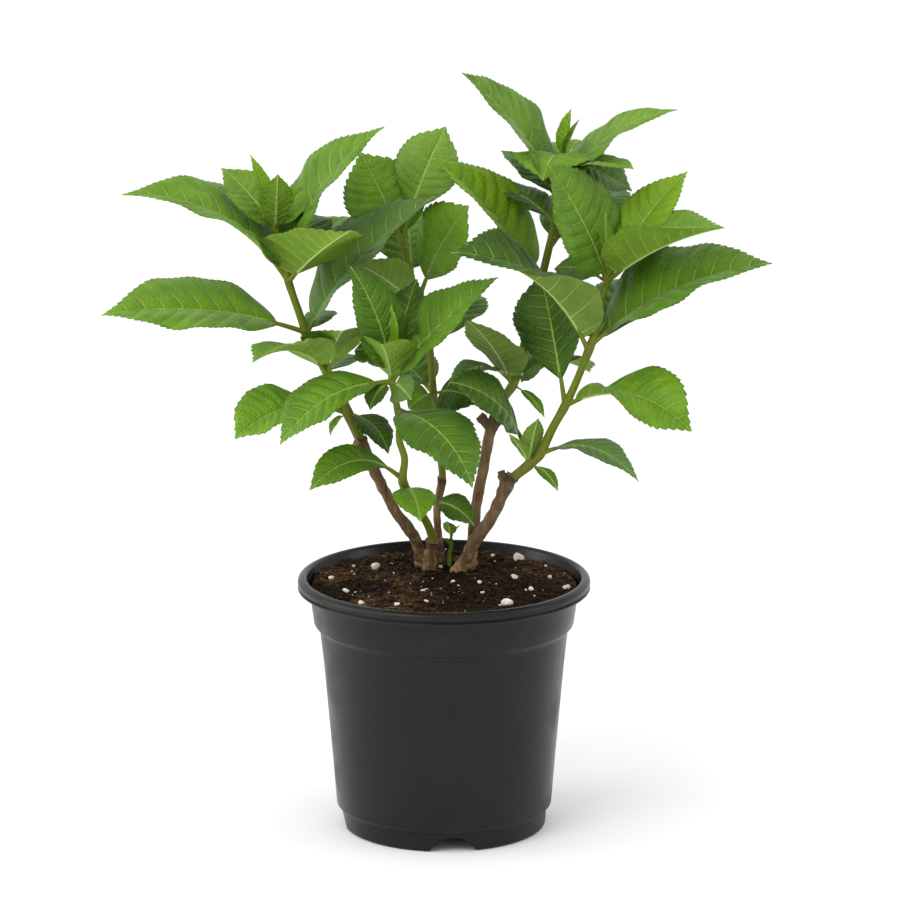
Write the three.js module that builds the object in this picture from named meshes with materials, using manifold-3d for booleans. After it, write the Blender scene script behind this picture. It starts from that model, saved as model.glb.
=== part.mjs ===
// Hydrangea shrub, young and in leaf, in its round nursery pot.
// Millimetres, +Z up. The origin is the middle of the pot's flat underside and the
// shrub's front looks along -Y.
import * as THREE from "three";
import { mergeVertices } from "three/addons/utils/BufferGeometryUtils.js";
import Module from "manifold-3d";

const wasm = await Module();
wasm.setup();

// Pot
const POT_HEIGHT = 146;
const RIM_RADIUS = 83;
const RIM_INNER_RADIUS = 77.5;
const LIP_HEIGHT = 6.4;
const COLLAR_TOP_RADIUS = 75.8;
const COLLAR_FOOT_RADIUS = 73.8;
const COLLAR_FOOT_HEIGHT = 119.8;
const BODY_TOP_RADIUS = 70.6;
const BODY_TOP_HEIGHT = 116.2;
const BODY_FOOT_RADIUS = 61.2;
const FOOT_HEIGHT = 12.5;
const FOOT_RADIUS = 58.5;
const WALL = 2;
const FLOOR = 3;
const POT_SIDES = 36;
// Four arched drain notches in the foot, turned a little from the front
const NOTCH_WIDTH = 25;
const NOTCH_TOP_WIDTH = 13;
const NOTCH_HEIGHT = 8.5;
const NOTCH_DEPTH = 28;
const NOTCH_TURN = 5;

// Potting soil
const SOIL_LINE = 142;
const SOIL_EDGE_RADIUS = 75.6;
const SOIL_MOUND = 2;
const MOUND_RADIUS = 37;
const GAP = 0.3;

// Leaf blade and stalk
const LEAF_THICKNESS = 1.2;
const SMALL_LEAF = 45;
const STALK_RADIUS = 1.35;
const TIP_HALF_WIDTH = 0.5;

const DEGREE = Math.PI / 180;
const vec = (p) => new THREE.Vector3(p[0], p[1], p[2]);
const aboveSoil = (p) => new THREE.Vector3(p[0], p[1], p[2] + SOIL_LINE);

// Closed solids, ready for joining and cutting
function solidOf(geometry) {
  const bare = geometry.clone();
  bare.deleteAttribute("normal");
  bare.deleteAttribute("uv");
  const merged = mergeVertices(bare, 1e-4);
  const mesh = new wasm.Mesh({
    numProp: 3,
    vertProperties: new Float32Array(merged.attributes.position.array),
    triVerts: new Uint32Array(merged.index.array),
  });
  return new wasm.Manifold(mesh);
}

// The largest outer shell of a fused solid: loose scraps and sealed hollows are dropped
function wholeBody(solid) {
  let best = null;
  for (const piece of solid.decompose()) {
    if (best === null || piece.volume() > best.volume()) {
      best = piece;
    }
  }
  return best;
}

function geometryOf(solid) {
  const mesh = solid.getMesh();
  const geometry = new THREE.BufferGeometry();
  const position = new Float32Array(mesh.vertProperties);
  geometry.setAttribute("position", new THREE.BufferAttribute(position, 3));
  geometry.setIndex(new THREE.BufferAttribute(new Uint32Array(mesh.triVerts), 1));
  geometry.computeVertexNormals();
  return geometry;
}

// Moves every vertex of a three.js geometry by a rule
function reshape(geometry, rule) {
  const position = geometry.attributes.position;
  for (let i = 0; i < position.count; i += 1) {
    const p = rule(position.getX(i), position.getY(i), position.getZ(i));
    position.setXYZ(i, p.x, p.y, p.z);
  }
  return geometry;
}

// A tapering limb along a smooth path; its first end is cut square to `heading`
function limb(points, radiusAt, sides, steps, heading) {
  const curve = new THREE.CatmullRomCurve3(points, false, "centripetal");
  const rings = [];
  let across = new THREE.Vector3(1, 0, 0);
  for (let i = 0; i <= steps; i += 1) {
    const t = i / steps;
    const along = i === 0 && heading ? heading.clone() : curve.getTangent(t);
    across = across.clone().addScaledVector(along, -across.dot(along)).normalize();
    const beyond = new THREE.Vector3().crossVectors(along, across);
    rings.push({ at: curve.getPoint(t), across, beyond, radius: radiusAt(t) });
  }
  const tube = new THREE.CylinderGeometry(1, 1, 1, sides, steps);
  return reshape(tube, (x, y, z) => {
    const ring = rings[Math.round((y + 0.5) * steps)];
    const p = ring.at.clone();
    p.addScaledVector(ring.across, z * ring.radius);
    return p.addScaledVector(ring.beyond, x * ring.radius);
  });
}

// Half-width of a leaf blade at v along it, as a share of half the full width:
// broadest near `belly` and drawn out to a point
function bladeShape(v, belly) {
  const swell = Math.sin(Math.PI * Math.pow(v, Math.log(0.5) / Math.log(belly)));
  return Math.pow(Math.max(swell, 0), v < belly ? 0.62 : 1) * (1 - 0.16 * Math.pow(v, 4));
}

// One leaf: `at` is its node on the shoot's path, `tip` its point above the soil line,
// `wide` its full width. It may also have a stalk length, a bow upwards as a share of
// its reach, a roll about its midrib with a twist towards the tip, a fold of the halves,
// and `belly`, the place along the blade where it is broadest.
function leaf(label, at, tip, wide, more = {}) {
  const usual = { stalk: 8, bow: 0.12, roll: 0, twist: 0, fold: 18, curl: 0.12, belly: 0.45 };
  return { label, at, tip, wide, ...usual, ...more };
}

function leafPath(from, spec) {
  const tip = aboveSoil(spec.tip);
  const reach = tip.clone().sub(from);
  const length = reach.length();
  const chord = reach.clone().normalize();
  const up = new THREE.Vector3(0, 0, 1).addScaledVector(chord, -chord.z).normalize();
  const side = new THREE.Vector3().crossVectors(chord, up);
  const crest = from.clone().add(tip).multiplyScalar(0.5).addScaledVector(up, spec.bow * length);
  return { curve: new THREE.QuadraticBezierCurve3(from, crest, tip), length, up, side };
}

// Stations along a leaf: a square stalk, then the blade's rows
const LARGE_ROWS = [0, 0.14, 0.36, 0.6, 0.82, 1];
const SMALL_ROWS = [0, 0.3, 0.65, 1];

function stations(path, spec) {
  const large = path.length > SMALL_LEAF;
  const stalkRows = spec.stalk > 12 ? 2 : 1;
  const scale = large ? 1 : 0.65;
  const stalk = STALK_RADIUS * scale;
  const start = spec.stalk / path.length;
  const rows = [];
  for (let k = 0; k < stalkRows; k += 1) {
    rows.push({ t: (start * k) / stalkRows, v: 0, half: stalk, thick: 2 * stalk });
  }
  for (const v of large ? LARGE_ROWS : SMALL_ROWS) {
    const least = v === 0 ? stalk : TIP_HALF_WIDTH;
    const half = Math.max(bladeShape(v, spec.belly) * spec.wide / 2, least);
    const thick = (v === 0 ? 1.4 : 1) * LEAF_THICKNESS * scale;
    rows.push({ t: start + (1 - start) * v, v, half, thick });
  }
  return rows;
}

// Blade and stalk as one closed sheet bent on to the leaf's path
function leafSolid(path, spec) {
  const rows = stations(path, spec);
  const fold = spec.fold * DEGREE;
  const sheet = new THREE.BoxGeometry(2, 1, 1, 2, rows.length - 1, 1);
  return solidOf(reshape(sheet, (x, y, z) => {
    const row = rows[Math.round((y + 0.5) * (rows.length - 1))];
    const roll = (spec.roll + spec.twist * row.v) * DEGREE;
    const along = path.curve.getTangent(row.t);
    const face = path.up.clone().multiplyScalar(Math.cos(roll));
    face.addScaledVector(path.side, Math.sin(roll));
    face.addScaledVector(along, -face.dot(along)).normalize();
    const across = new THREE.Vector3().crossVectors(along, face);
    const rise = row.half * (Math.abs(x) * Math.sin(fold) - spec.curl * x * x);
    const p = path.curve.getPoint(row.t);
    p.addScaledVector(across, x * row.half * Math.cos(fold));
    return p.addScaledVector(face, rise + z * row.thick);
  }));
}

// A shoot: one green stem and its leaves, fused into a single mass
const pointAt = (path, at) => {
  const i = Math.min(Math.floor(at), path.length - 2);
  return path[i].clone().lerp(path[i + 1], at - i);
};

function shootSolid(spec, foot) {
  const nodes = spec.path.map(aboveSoil);
  let line = nodes;
  if (foot) {
    const start = foot.point.clone().addScaledVector(foot.heading, GAP);
    line = [start, start.clone().addScaledVector(foot.heading, 4), ...nodes.slice(1)];
  }
  const radiusAt = (t) => spec.radius + (spec.tipRadius - spec.radius) * t;
  const steps = Math.round(line.length * 1.6);
  let mass = solidOf(limb(line, radiusAt, 6, steps, foot && foot.heading));
  for (const one of spec.leaves) {
    mass = mass.add(leafSolid(leafPath(pointAt(nodes, one.at), one), one));
  }
  return wholeBody(mass);
}

// Woody canes, from the soil line up: path points, girth at foot and top, and cut stubs
const CANES = {
  cane_left: {
    path: [
      [-13, 30, 2.3], [-14, 26, 11], [-16.5, 20, 20], [-21, 14, 29], [-27, 9, 38],
      [-34, 5, 53], [-40, 2, 66], [-47, 0, 84],
    ],
    radius: 3.5,
    topRadius: 2.8,
    flare: 1.25,
    steps: 10,
    stubs: [{ at: 6.7, reach: [-5, -6, 4], radius: 2.5 }],
  },
  cane_right: {
    path: [
      [8, 14, 2.3], [12.5, 12, 10], [17.5, 9, 22], [24, 5, 32], [29, 3, 41.5],
      [34, 0, 54], [39, -1, 62],
    ],
    radius: 3.7,
    topRadius: 3.4,
    flare: 1.15,
    steps: 10,
    stubs: [{ at: 5.2, reach: [-3, 1, 9], radius: 2.5 }],
  },
  cane_middle: {
    path: [
      [15, 26, 2.3], [16, 25, 14], [18, 24, 36], [22, 24, 58], [26, 26, 80], [29, 27, 91],
    ],
    radius: 3.3,
    topRadius: 2.9,
    flare: 1.3,
    steps: 9,
    stubs: [
      { at: 4.3, reach: [-7, 0, 7], radius: 2.6 },
      { at: 4.2, reach: [7, -2, 8], radius: 2.4 },
    ],
  },
  cane_back: {
    path: [[-2, 31, 2.3], [-3, 31, 16], [-4, 30, 34], [-1, 28, 54]],
    radius: 2.3,
    topRadius: 2.1,
    flare: 1.3,
    steps: 6,
    stubs: [],
  },
  cane_front: {
    path: [[-8, 20, 2.3], [-8, 18.5, 9], [-7, 17, 15], [-6.5, 16, 20]],
    radius: 3.7,
    topRadius: 3.7,
    flare: 1.05,
    steps: 4,
    stubs: [],
  },
};


// Green shoots: the stem's path from its cane's top, its girth, and its leaves
const SHOOTS = {
  shoot_left: {
    cane: "cane_left",
    path: [
      [-49, 0, 87], [-54, 1, 98], [-60, 2, 112], [-65, 2, 120], [-77, 3, 144],
      [-82, 3, 158], [-87, 4, 173], [-89, 4, 183], [-94, 4, 202], [-98, 4, 212],
    ],
    radius: 3,
    tipRadius: 1.6,
    leaves: [
      leaf("A1", 6, [-179, -10, 225.5], 74, { stalk: 10, bow: 0.27, roll: -10, fold: 21, belly: 0.36 }),
      leaf("A2", 7, [-33, 6, 261], 62, { bow: 0.18, roll: 13, fold: 19, belly: 0.4 }),
      leaf("A3", 6, [-52, -66, 216], 62, { stalk: 10, bow: 0.05, roll: -8, fold: 28, belly: 0.34 }),
      leaf("A6", 7, [-80, 62, 200], 46, { fold: 20 }),
      leaf("A5", 8, [-108, 3, 246], 12, { stalk: 3, bow: 0.05, roll: -60, fold: 30 }),
      leaf("A5b", 8, [-92, -14, 238], 20, { stalk: 3, bow: 0, fold: 12, belly: 0.5 }),
      leaf("A5c", 8, [-125, 24, 234], 32, { stalk: 4, bow: 0.1, roll: -20, fold: 20 }),
      leaf("L1", 4, [-191, -15, 158], 68, { stalk: 17, bow: 0.13, roll: -15, fold: 16, belly: 0.5 }),
      leaf("L2", 4, [-5, 2, 222], 64, { roll: 17, fold: 24 }),
      leaf("L3", 3, [-106, -45, 138], 48, { bow: 0.32, roll: 10, fold: 20 }),
      leaf("L4", 3, [-56, -42, 155], 40, { bow: 0.15, fold: 25 }),
      leaf("L5", 1, [-117, -20, 88], 44, { stalk: 22, bow: 0.32, roll: -20, fold: 25, belly: 0.55 }),
      leaf("F10", 1, [-31, -14, 78], 28, { stalk: 5, bow: 0.35, fold: 10 }),
      leaf("A7", 8, [-76, 18, 226], 24, { stalk: 4, bow: 0.1, roll: 20, fold: 20 }),
      leaf("L6", 4, [-62, 36, 149], 18, { stalk: 4, bow: 0.2, fold: 10 }),
      leaf("BL1", 3, [-60, 60, 118], 30, { bow: 0.08, fold: 15 }),
      leaf("BL3", 6, [-54, 74, 196], 46, { bow: 0.16, fold: 15 }),
      leaf("L7", 1, [-64, -5, 86], 8, { stalk: 3, bow: 0.3, fold: 25 }),
    ],
  },
  shoot_back: {
    cane: "cane_back",
    path: [
      [-1, 28, 57], [-6, 32, 102], [-8, 34, 127], [-13, 36, 149], [-18, 37, 167],
      [-24, 38, 189], [-27, 38, 196],
    ],
    radius: 2.2,
    tipRadius: 1.3,
    leaves: [
      leaf("E1", 5, [-48, 56, 237], 54, { stalk: 4, bow: 0.05, roll: -25, fold: 15 }),
      leaf("E2", 5, [1, 46, 253.5], 40, { stalk: 20, bow: 0.05, roll: 46, fold: 8, belly: 0.54 }),
      leaf("E4", 3.3, [14, 26, 212], 48, { stalk: 14, bow: 0.1, roll: 55, fold: 15, belly: 0.56 }),
      leaf("E5", 3, [-49, 20, 180], 30, { stalk: 10, bow: 0.1, roll: 60, fold: 20 }),
      leaf("O1", 1, [-20, 12, 98], 26, { stalk: 4, bow: 0.15, roll: -50, fold: 10 }),
      leaf("N4", 1, [20, 15, 100], 36, { stalk: 4, bow: 0.25, roll: 35, fold: 10 }),
      leaf("BB1", 1, [-48, 92, 116], 44, { bow: 0.16, fold: 15 }),
      leaf("BB2", 2, [14, 98, 146], 46, { stalk: 10, bow: 0.16, fold: 15 }),
      leaf("BB3", 4, [-22, 100, 196], 46, { bow: 0.16, fold: 15 }),
    ],
  },
  shoot_front: {
    cane: "cane_front",
    path: [
      [-6.5, 16, 21], [-9, 12, 30], [-14, 4, 41], [-23, -11, 61], [-22, -17, 76],
      [-25, -21, 88], [-25, -25, 100], [-27, -27, 113], [-29, -28, 123], [-30, -28, 136],
    ],
    radius: 2.6,
    tipRadius: 1.5,
    leaves: [
      leaf("F1", 8, [-91, -50, 92], 45, { bow: 0.27, roll: -12, belly: 0.52 }),
      leaf("F2", 8, [-52, -34, 190], 36, { roll: -62, fold: 15, belly: 0.42 }),
      leaf("F3", 8, [30, -30, 183], 54, { bow: 0.08, roll: 20, fold: 20, belly: 0.4 }),
      leaf("F4", 8, [-34, -62, 152], 40, { stalk: 4, fold: 40 }),
      leaf("F5", 9, [-50, -16, 138], 28, { stalk: 4, bow: 0.2, roll: -30, fold: 20 }),
      leaf("F6", 8, [-18, -46, 117], 20, { stalk: 4, bow: 0.15, roll: 60, fold: 15 }),
      leaf("F7", 8, [-41, -38, 109], 18, { stalk: 4, bow: 0.3, fold: 15 }),
      leaf("Fi", 9, [-29, -26, 166], 16, { stalk: 3, bow: 0.05, fold: 30 }),
      leaf("Fb", 8, [-15, 8, 174], 34, { stalk: 6, fold: 20 }),
      leaf("F8", 6.5, [16, -60, 70], 57, { stalk: 4, bow: 0.3, fold: 8, belly: 0.42 }),
      leaf("F9", 3.1, [-75, -42, 64], 24, { stalk: 9, bow: 0.46, roll: -35, fold: 22, belly: 0.6 }),
      leaf("F11", 2.8, [-13, -42, 46], 25, { stalk: 3, bow: 0.3, fold: 8, belly: 0.48 }),
      leaf("F12", 2.2, [17, -8, 35], 20, { stalk: 12, bow: 0.36, roll: 30, fold: 15 }),
    ],
  },
  shoot_middle: {
    cane: "cane_middle",
    path: [
      [31, 27, 95], [34, 27, 101], [39, 28, 108], [43, 29, 119], [46, 30, 133],
      [53, 32, 160], [59, 34, 185], [62, 36, 200], [65, 37, 213], [67, 37, 236],
    ],
    radius: 2.9,
    tipRadius: 1.5,
    leaves: [
      leaf("C1", 8, [10, 20, 289], 64, { roll: -25, belly: 0.38 }),
      leaf("C2", 8, [131, 36, 265], 56, { bow: 0.27, roll: 4, fold: 12, belly: 0.42 }),
      leaf("C4", 8, [32, 55, 238], 36, { stalk: 6, fold: 15 }),
      leaf("C5", 9, [71.5, 40, 265], 14, { stalk: 3, bow: 0.05, fold: 25 }),
      leaf("C5b", 9, [76, 34, 260], 14, { stalk: 3, bow: 0.05, fold: 25 }),
      leaf("C6", 9, [106, 0, 238], 32, { stalk: 4, bow: 0.05, fold: 10 }),
      leaf("C7", 9, [55, 2, 231], 46, { stalk: 2, bow: 0.4, fold: 8 }),
      leaf("C3", 5.3, [-6, 22, 240], 60, { bow: 0.08, roll: -25, fold: 26, belly: 0.42 }),
      leaf("D5", 9, [106, 32, 219], 40, { stalk: 4, bow: 0.1, roll: 18, fold: 12 }),
      leaf("N1", 2, [13, 0, 152], 42, { stalk: 6, fold: 15 }),
      leaf("N2", 2, [2, 4, 113], 28, { bow: 0.5, fold: 10 }),
      leaf("H4", 2, [62, 14, 126], 30, { roll: 30, fold: 15 }),
      leaf("C8", 7, [27, 60, 218], 32, { stalk: 6, bow: 0.15, fold: 15 }),
      leaf("H5", 2, [57, 14, 92], 10, { stalk: 6, bow: 0.2, fold: 15 }),
      leaf("BM1", 4, [88, 112, 138], 44, { stalk: 10, bow: 0.16, fold: 15 }),
      leaf("BM2", 6, [104, 100, 206], 52, { stalk: 10, bow: 0.16, fold: 15 }),
      leaf("BM3", 8, [76, 100, 236], 44, { stalk: 6, bow: 0.16, fold: 15 }),
      leaf("BM4", 3, [84, 78, 104], 44, { bow: 0.16, fold: 15 }),
    ],
  },
  shoot_right: {
    cane: "cane_right",
    path: [
      [40, -1, 62], [48, -2, 69], [54, -2, 75], [61, -2, 90], [68, -2, 103],
      [74, -1, 116], [81, 0, 134], [86, 1, 149], [89, 2, 166], [91, 3, 173],
      [93, 3, 190],
    ],
    radius: 3,
    tipRadius: 1.5,
    leaves: [
      leaf("D1", 6.2, [183, -12, 187], 80, { stalk: 12, bow: 0.16, roll: 15, fold: 22, belly: 0.4 }),
      leaf("D2", 9, [155, -30, 211], 62, { roll: -12, fold: 40, twist: 25, belly: 0.36 }),
      leaf("D3", 9, [137, 30, 231], 37, { bow: 0.1, roll: 19 }),
      leaf("D4", 9, [57, -10, 243], 60, { stalk: 6, bow: 0.08, roll: -54, fold: 14, belly: 0.42 }),
      leaf("Di", 9, [90, -4, 214], 12, { stalk: 3, bow: 0.08, roll: -20, fold: 10 }),
      leaf("H1", 6, [4, -46, 200], 68, { bow: 0.27, roll: 20, fold: 28, twist: -62, belly: 0.42 }),
      leaf("H2", 4, [54, 24, 175], 46, { stalk: 15, bow: 0.05, roll: -58, fold: 14, belly: 0.6 }),
      leaf("R1", 4, [138, -35, 96], 47, { stalk: 6, bow: 0.36, roll: -36, fold: 27, twist: 105, belly: 0.57 }),
      leaf("R2", 2, [109, -30, 66], 34, { bow: 0.38, fold: 12 }),
      leaf("R3", 1, [64, -25, 59], 10, { stalk: 6, bow: 0.25, fold: 12 }),
      leaf("N3", 1, [3, -30, 123], 44, { stalk: 20, bow: 0.3, roll: -35, fold: 10 }),
      leaf("H3", 9, [62, 25, 176], 28, { bow: 0.2, roll: -35, fold: 15 }),
      leaf("R4", 1, [53, -10, 98], 16, { stalk: 4, bow: 0.1, fold: 15 }),
      leaf("R5", 1, [36, -14, 90], 12, { stalk: 3, bow: 0.1, fold: 15 }),
      leaf("BR1", 6, [122, 84, 158], 48, { stalk: 10, bow: 0.16, fold: 15 }),
      leaf("BR2", 9, [112, 72, 190], 46, { bow: 0.16, fold: 15 }),
    ],
  },
  sprout: {
    path: [
      [3, 25, 2.3], [3, 25, 9], [4, 24, 15], [4, 23, 20],
    ],
    radius: 1.3,
    tipRadius: 0.9,
    leaves: [
      leaf("P1", 3, [1.5, 18, 31], 9, { stalk: 2, bow: 0.1 }),
      leaf("P2", 3, [9, 20, 28], 8, { stalk: 2, bow: 0.1 }),
      leaf("P3", 2, [-2, 14, 22], 7, { stalk: 2, bow: 0.15 }),
    ],
  },
};

// Each woody cane is cut flat at the soil, flares at its foot, swells at its old nodes and
// ends in the stub of last year's growth
function caneSolid(spec) {
  const path = spec.path.map(aboveSoil);
  const radiusAt = (t) => {
    const flare = 1 + (spec.flare - 1) * Math.pow(Math.max(1 - t / 0.18, 0), 2);
    const node = 1 + 0.1 * Math.pow(Math.sin(Math.PI * (t * 2.5 + 0.35)), 8);
    return (spec.radius + (spec.topRadius - spec.radius) * t) * flare * node;
  };
  let solid = solidOf(limb(path, radiusAt, 8, spec.steps, new THREE.Vector3(0, 0, 1)));
  for (const stub of spec.stubs) {
    const from = pointAt(path, stub.at);
    const points = [0, 0.5, 1].map((u) => from.clone().addScaledVector(vec(stub.reach), u));
    const thin = (t) => stub.radius * (1.1 - 0.2 * t);
    solid = solid.add(solidOf(limb(points, thin, 6, 2)));
  }
  const last = path[path.length - 1];
  const heading = new THREE.CatmullRomCurve3(path, false, "centripetal").getTangent(1);
  return { solid: wholeBody(solid), foot: { point: last, heading } };
}

// Pot: one turned shell with a rolled lip, a collar, a stepped foot and a closed floor
function turned(profile, sides) {
  const points = profile.map(([r, z]) => new THREE.Vector2(r, z));
  return solidOf(new THREE.LatheGeometry(points, sides).rotateX(Math.PI / 2));
}

function notchTool(width, topWidth, height, depth) {
  const arch = new THREE.Shape();
  const low = -4;
  arch.moveTo(-width / 2 - 0.5, low);
  arch.lineTo(width / 2 + 0.5, low);
  arch.lineTo(width / 2, 0);
  arch.quadraticCurveTo(width / 2 - 2.5, height * 0.45, topWidth / 2, height * 0.92);
  arch.quadraticCurveTo(0, height * 1.06, -topWidth / 2, height * 0.92);
  arch.quadraticCurveTo(-width / 2 + 2.5, height * 0.45, -width / 2, 0);
  arch.lineTo(-width / 2 - 0.5, low);
  const bar = new THREE.ExtrudeGeometry(arch, { depth, bevelEnabled: false, curveSegments: 4 });
  return bar.rotateX(Math.PI / 2);
}

// The tool runs from a given radius outwards, at one of the four places round the foot
function notchAt(index, inner, outer, grow) {
  const width = NOTCH_WIDTH + 2 * grow;
  const topWidth = NOTCH_TOP_WIDTH + 2 * grow;
  const tool = notchTool(width, topWidth, NOTCH_HEIGHT + grow, outer - inner);
  tool.translate(0, -inner, 0);
  tool.rotateZ((NOTCH_TURN + 90 * index) * DEGREE);
  return solidOf(tool);
}

const insideRadiusAt = (z) => {
  const share = (z - FOOT_HEIGHT) / (BODY_TOP_HEIGHT - FOOT_HEIGHT);
  return BODY_FOOT_RADIUS + (BODY_TOP_RADIUS - BODY_FOOT_RADIUS) * share - WALL;
};

function potSolid() {
  const lipFoot = POT_HEIGHT - LIP_HEIGHT;
  let pot = turned([
    [0, 0],
    [FOOT_RADIUS - 2.6, 0],
    [FOOT_RADIUS - 1, 0.8],
    [FOOT_RADIUS - 0.3, 3],
    [FOOT_RADIUS, FOOT_HEIGHT - 1.5],
    [BODY_FOOT_RADIUS, FOOT_HEIGHT],
    [BODY_TOP_RADIUS, BODY_TOP_HEIGHT],
    [COLLAR_FOOT_RADIUS - 1, COLLAR_FOOT_HEIGHT - 2],
    [COLLAR_FOOT_RADIUS, COLLAR_FOOT_HEIGHT],
    [COLLAR_TOP_RADIUS, lipFoot - 4],
    [COLLAR_TOP_RADIUS + 1.2, lipFoot - 1.5],
    [RIM_RADIUS - 1.6, lipFoot],
    [RIM_RADIUS, lipFoot + 2],
    [RIM_RADIUS, POT_HEIGHT - 2.2],
    [RIM_RADIUS - 1.2, POT_HEIGHT - 0.6],
    [RIM_RADIUS - 3, POT_HEIGHT],
    [RIM_INNER_RADIUS + 0.8, POT_HEIGHT - 0.4],
    [RIM_INNER_RADIUS, POT_HEIGHT - 2],
    [insideRadiusAt(lipFoot - 4), lipFoot - 8],
    [insideRadiusAt(BODY_TOP_HEIGHT), BODY_TOP_HEIGHT],
    [insideRadiusAt(FOOT_HEIGHT), FOOT_HEIGHT],
    [insideRadiusAt(FOOT_HEIGHT) - 2, FLOOR],
    [0, FLOOR],
  ], POT_SIDES);
  const floorLevel = new THREE.BoxGeometry(400, 400, 40).translate(0, 0, -20);
  const reach = FOOT_RADIUS - NOTCH_DEPTH;
  for (let i = 0; i < 4; i += 1) {
    const cover = notchAt(i, reach - WALL, FOOT_RADIUS - 1.2, WALL).subtract(solidOf(floorLevel));
    pot = pot.add(cover);
  }
  for (let i = 0; i < 4; i += 1) {
    pot = pot.subtract(notchAt(i, reach, RIM_RADIUS, 0));
  }
  return wholeBody(pot);
}

// Soil: fills the pot to just under the lip and rises to a low flat mound round the canes
function soilSolid() {
  const lipFoot = POT_HEIGHT - LIP_HEIGHT;
  let soil = turned([
    [0, FLOOR + GAP],
    [insideRadiusAt(FOOT_HEIGHT) - 2 - GAP, FLOOR + GAP],
    [insideRadiusAt(FOOT_HEIGHT) - GAP, FOOT_HEIGHT],
    [insideRadiusAt(BODY_TOP_HEIGHT) - GAP, BODY_TOP_HEIGHT],
    [insideRadiusAt(lipFoot - 4) - GAP, lipFoot - 8],
    [SOIL_EDGE_RADIUS - GAP, SOIL_LINE - 1.2],
    [SOIL_EDGE_RADIUS - 8, SOIL_LINE - 0.6],
    [MOUND_RADIUS + 14, SOIL_LINE],
    [MOUND_RADIUS, SOIL_LINE + SOIL_MOUND],
    [0, SOIL_LINE + SOIL_MOUND],
  ], 36);
  const reach = FOOT_RADIUS - NOTCH_DEPTH;
  for (let i = 0; i < 4; i += 1) {
    const room = notchAt(i, reach - WALL - GAP, FOOT_RADIUS + 2, WALL + GAP);
    soil = soil.subtract(room);
  }
  return wholeBody(soil);
}

function paint(color, roughness) {
  return new THREE.MeshStandardMaterial({ color, roughness, metalness: 0 });
}
const PLASTIC = paint(0x333433, 0.5);
const SOIL = paint(0x2b1d13, 1);
const BARK = paint(0x6e5240, 0.9);
const LEAF_GREEN = paint(0x4c8a2a, 0.6);
const YOUNG_GREEN = paint(0x7fae3a, 0.6);

const hydrangea = new THREE.Group();
function place(name, solid, material) {
  const mesh = new THREE.Mesh(geometryOf(solid), material);
  mesh.name = name;
  hydrangea.add(mesh);
}

place("pot", potSolid(), PLASTIC);
place("potting_soil", soilSolid(), SOIL);
const feet = {};
for (const [name, spec] of Object.entries(CANES)) {
  const cane = caneSolid(spec);
  feet[name] = cane.foot;
  place(name, cane.solid, BARK);
}
for (const [name, spec] of Object.entries(SHOOTS)) {
  const solid = shootSolid(spec, spec.cane ? feet[spec.cane] : null);
  place(name, solid, name === "sprout" ? YOUNG_GREEN : LEAF_GREEN);
}

export default hydrangea;
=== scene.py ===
"""A young hydrangea in its nursery pot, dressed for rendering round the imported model."""
import itertools
import math
from typing import NamedTuple

import bpy
import numpy as np
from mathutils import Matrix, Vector, noise
from mathutils.bvhtree import BVHTree


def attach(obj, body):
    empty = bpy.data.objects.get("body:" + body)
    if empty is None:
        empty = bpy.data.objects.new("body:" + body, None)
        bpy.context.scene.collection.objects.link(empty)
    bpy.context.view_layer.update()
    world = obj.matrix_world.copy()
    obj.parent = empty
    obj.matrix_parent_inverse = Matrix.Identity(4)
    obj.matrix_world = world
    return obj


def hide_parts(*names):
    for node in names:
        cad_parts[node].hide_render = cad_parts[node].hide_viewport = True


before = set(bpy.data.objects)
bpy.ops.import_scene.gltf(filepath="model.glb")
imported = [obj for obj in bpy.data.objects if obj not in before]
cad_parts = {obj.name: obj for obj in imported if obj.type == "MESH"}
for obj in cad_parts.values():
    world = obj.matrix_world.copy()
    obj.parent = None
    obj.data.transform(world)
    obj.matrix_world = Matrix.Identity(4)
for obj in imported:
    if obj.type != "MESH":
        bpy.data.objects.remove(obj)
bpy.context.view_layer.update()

bl_info = {
    "name": "Hydrangea in a nursery pot",
    "version": (1, 0, 0),
    "blender": (4, 5, 0),
    "location": "3D View > Sidebar > Hydrangea",
    "description": "Adds a potted hydrangea, piece by piece, with its studio",
    "category": "Add Mesh",
}

# Sizes in the tables and in the meshes' functions are in millimetres
MM = 0.001
BODY = "root"
SOIL_LINE = 142

# Pot profile: radius and height, from the middle of the underside up the outside,
# over the lip and down the inside
FOOT_ROWS = [(55.7, 0), (56.5, 0.15), (57.3, 0.6), (57.8, 1.4), (58.1, 3), (58.5, 11)]
STEP_ROWS = [(59.2, 11.5), (60.2, 12.1), (61, 12.9), (61.3, 14)]
BODY_ROWS = [(63.6, 43), (66.0, 70), (68.2, 95), (70.3, 114)]
SEAM_ROWS = [(70.5, 116), (70.9, 117), (72.4, 117.9), (73.3, 118.8), (73.8, 119.9)]
COLLAR_ROWS = [(74.9, 128), (75.7, 135.4), (76.1, 137), (77, 138.2)]
LIP_ROWS = [
    (79.6, 138.6), (81.6, 138.7), (82.6, 139), (82.9, 139.5), (82.7, 140), (82, 140.3),
    (81.9, 140.7), (82.4, 141.1), (82.8, 141.8), (82.9, 143.1), (82.6, 144.2), (81.9, 145.1),
    (80.9, 145.7), (79.6, 146), (78.6, 145.8), (77.9, 145.2), (77.5, 144.2),
]
INSIDE_ROWS = [(76.4, 139.5), (70.7, 133), (68.6, 117), (59, 14), (57, 3)]
EDGE_ROUND = 0.9

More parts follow.
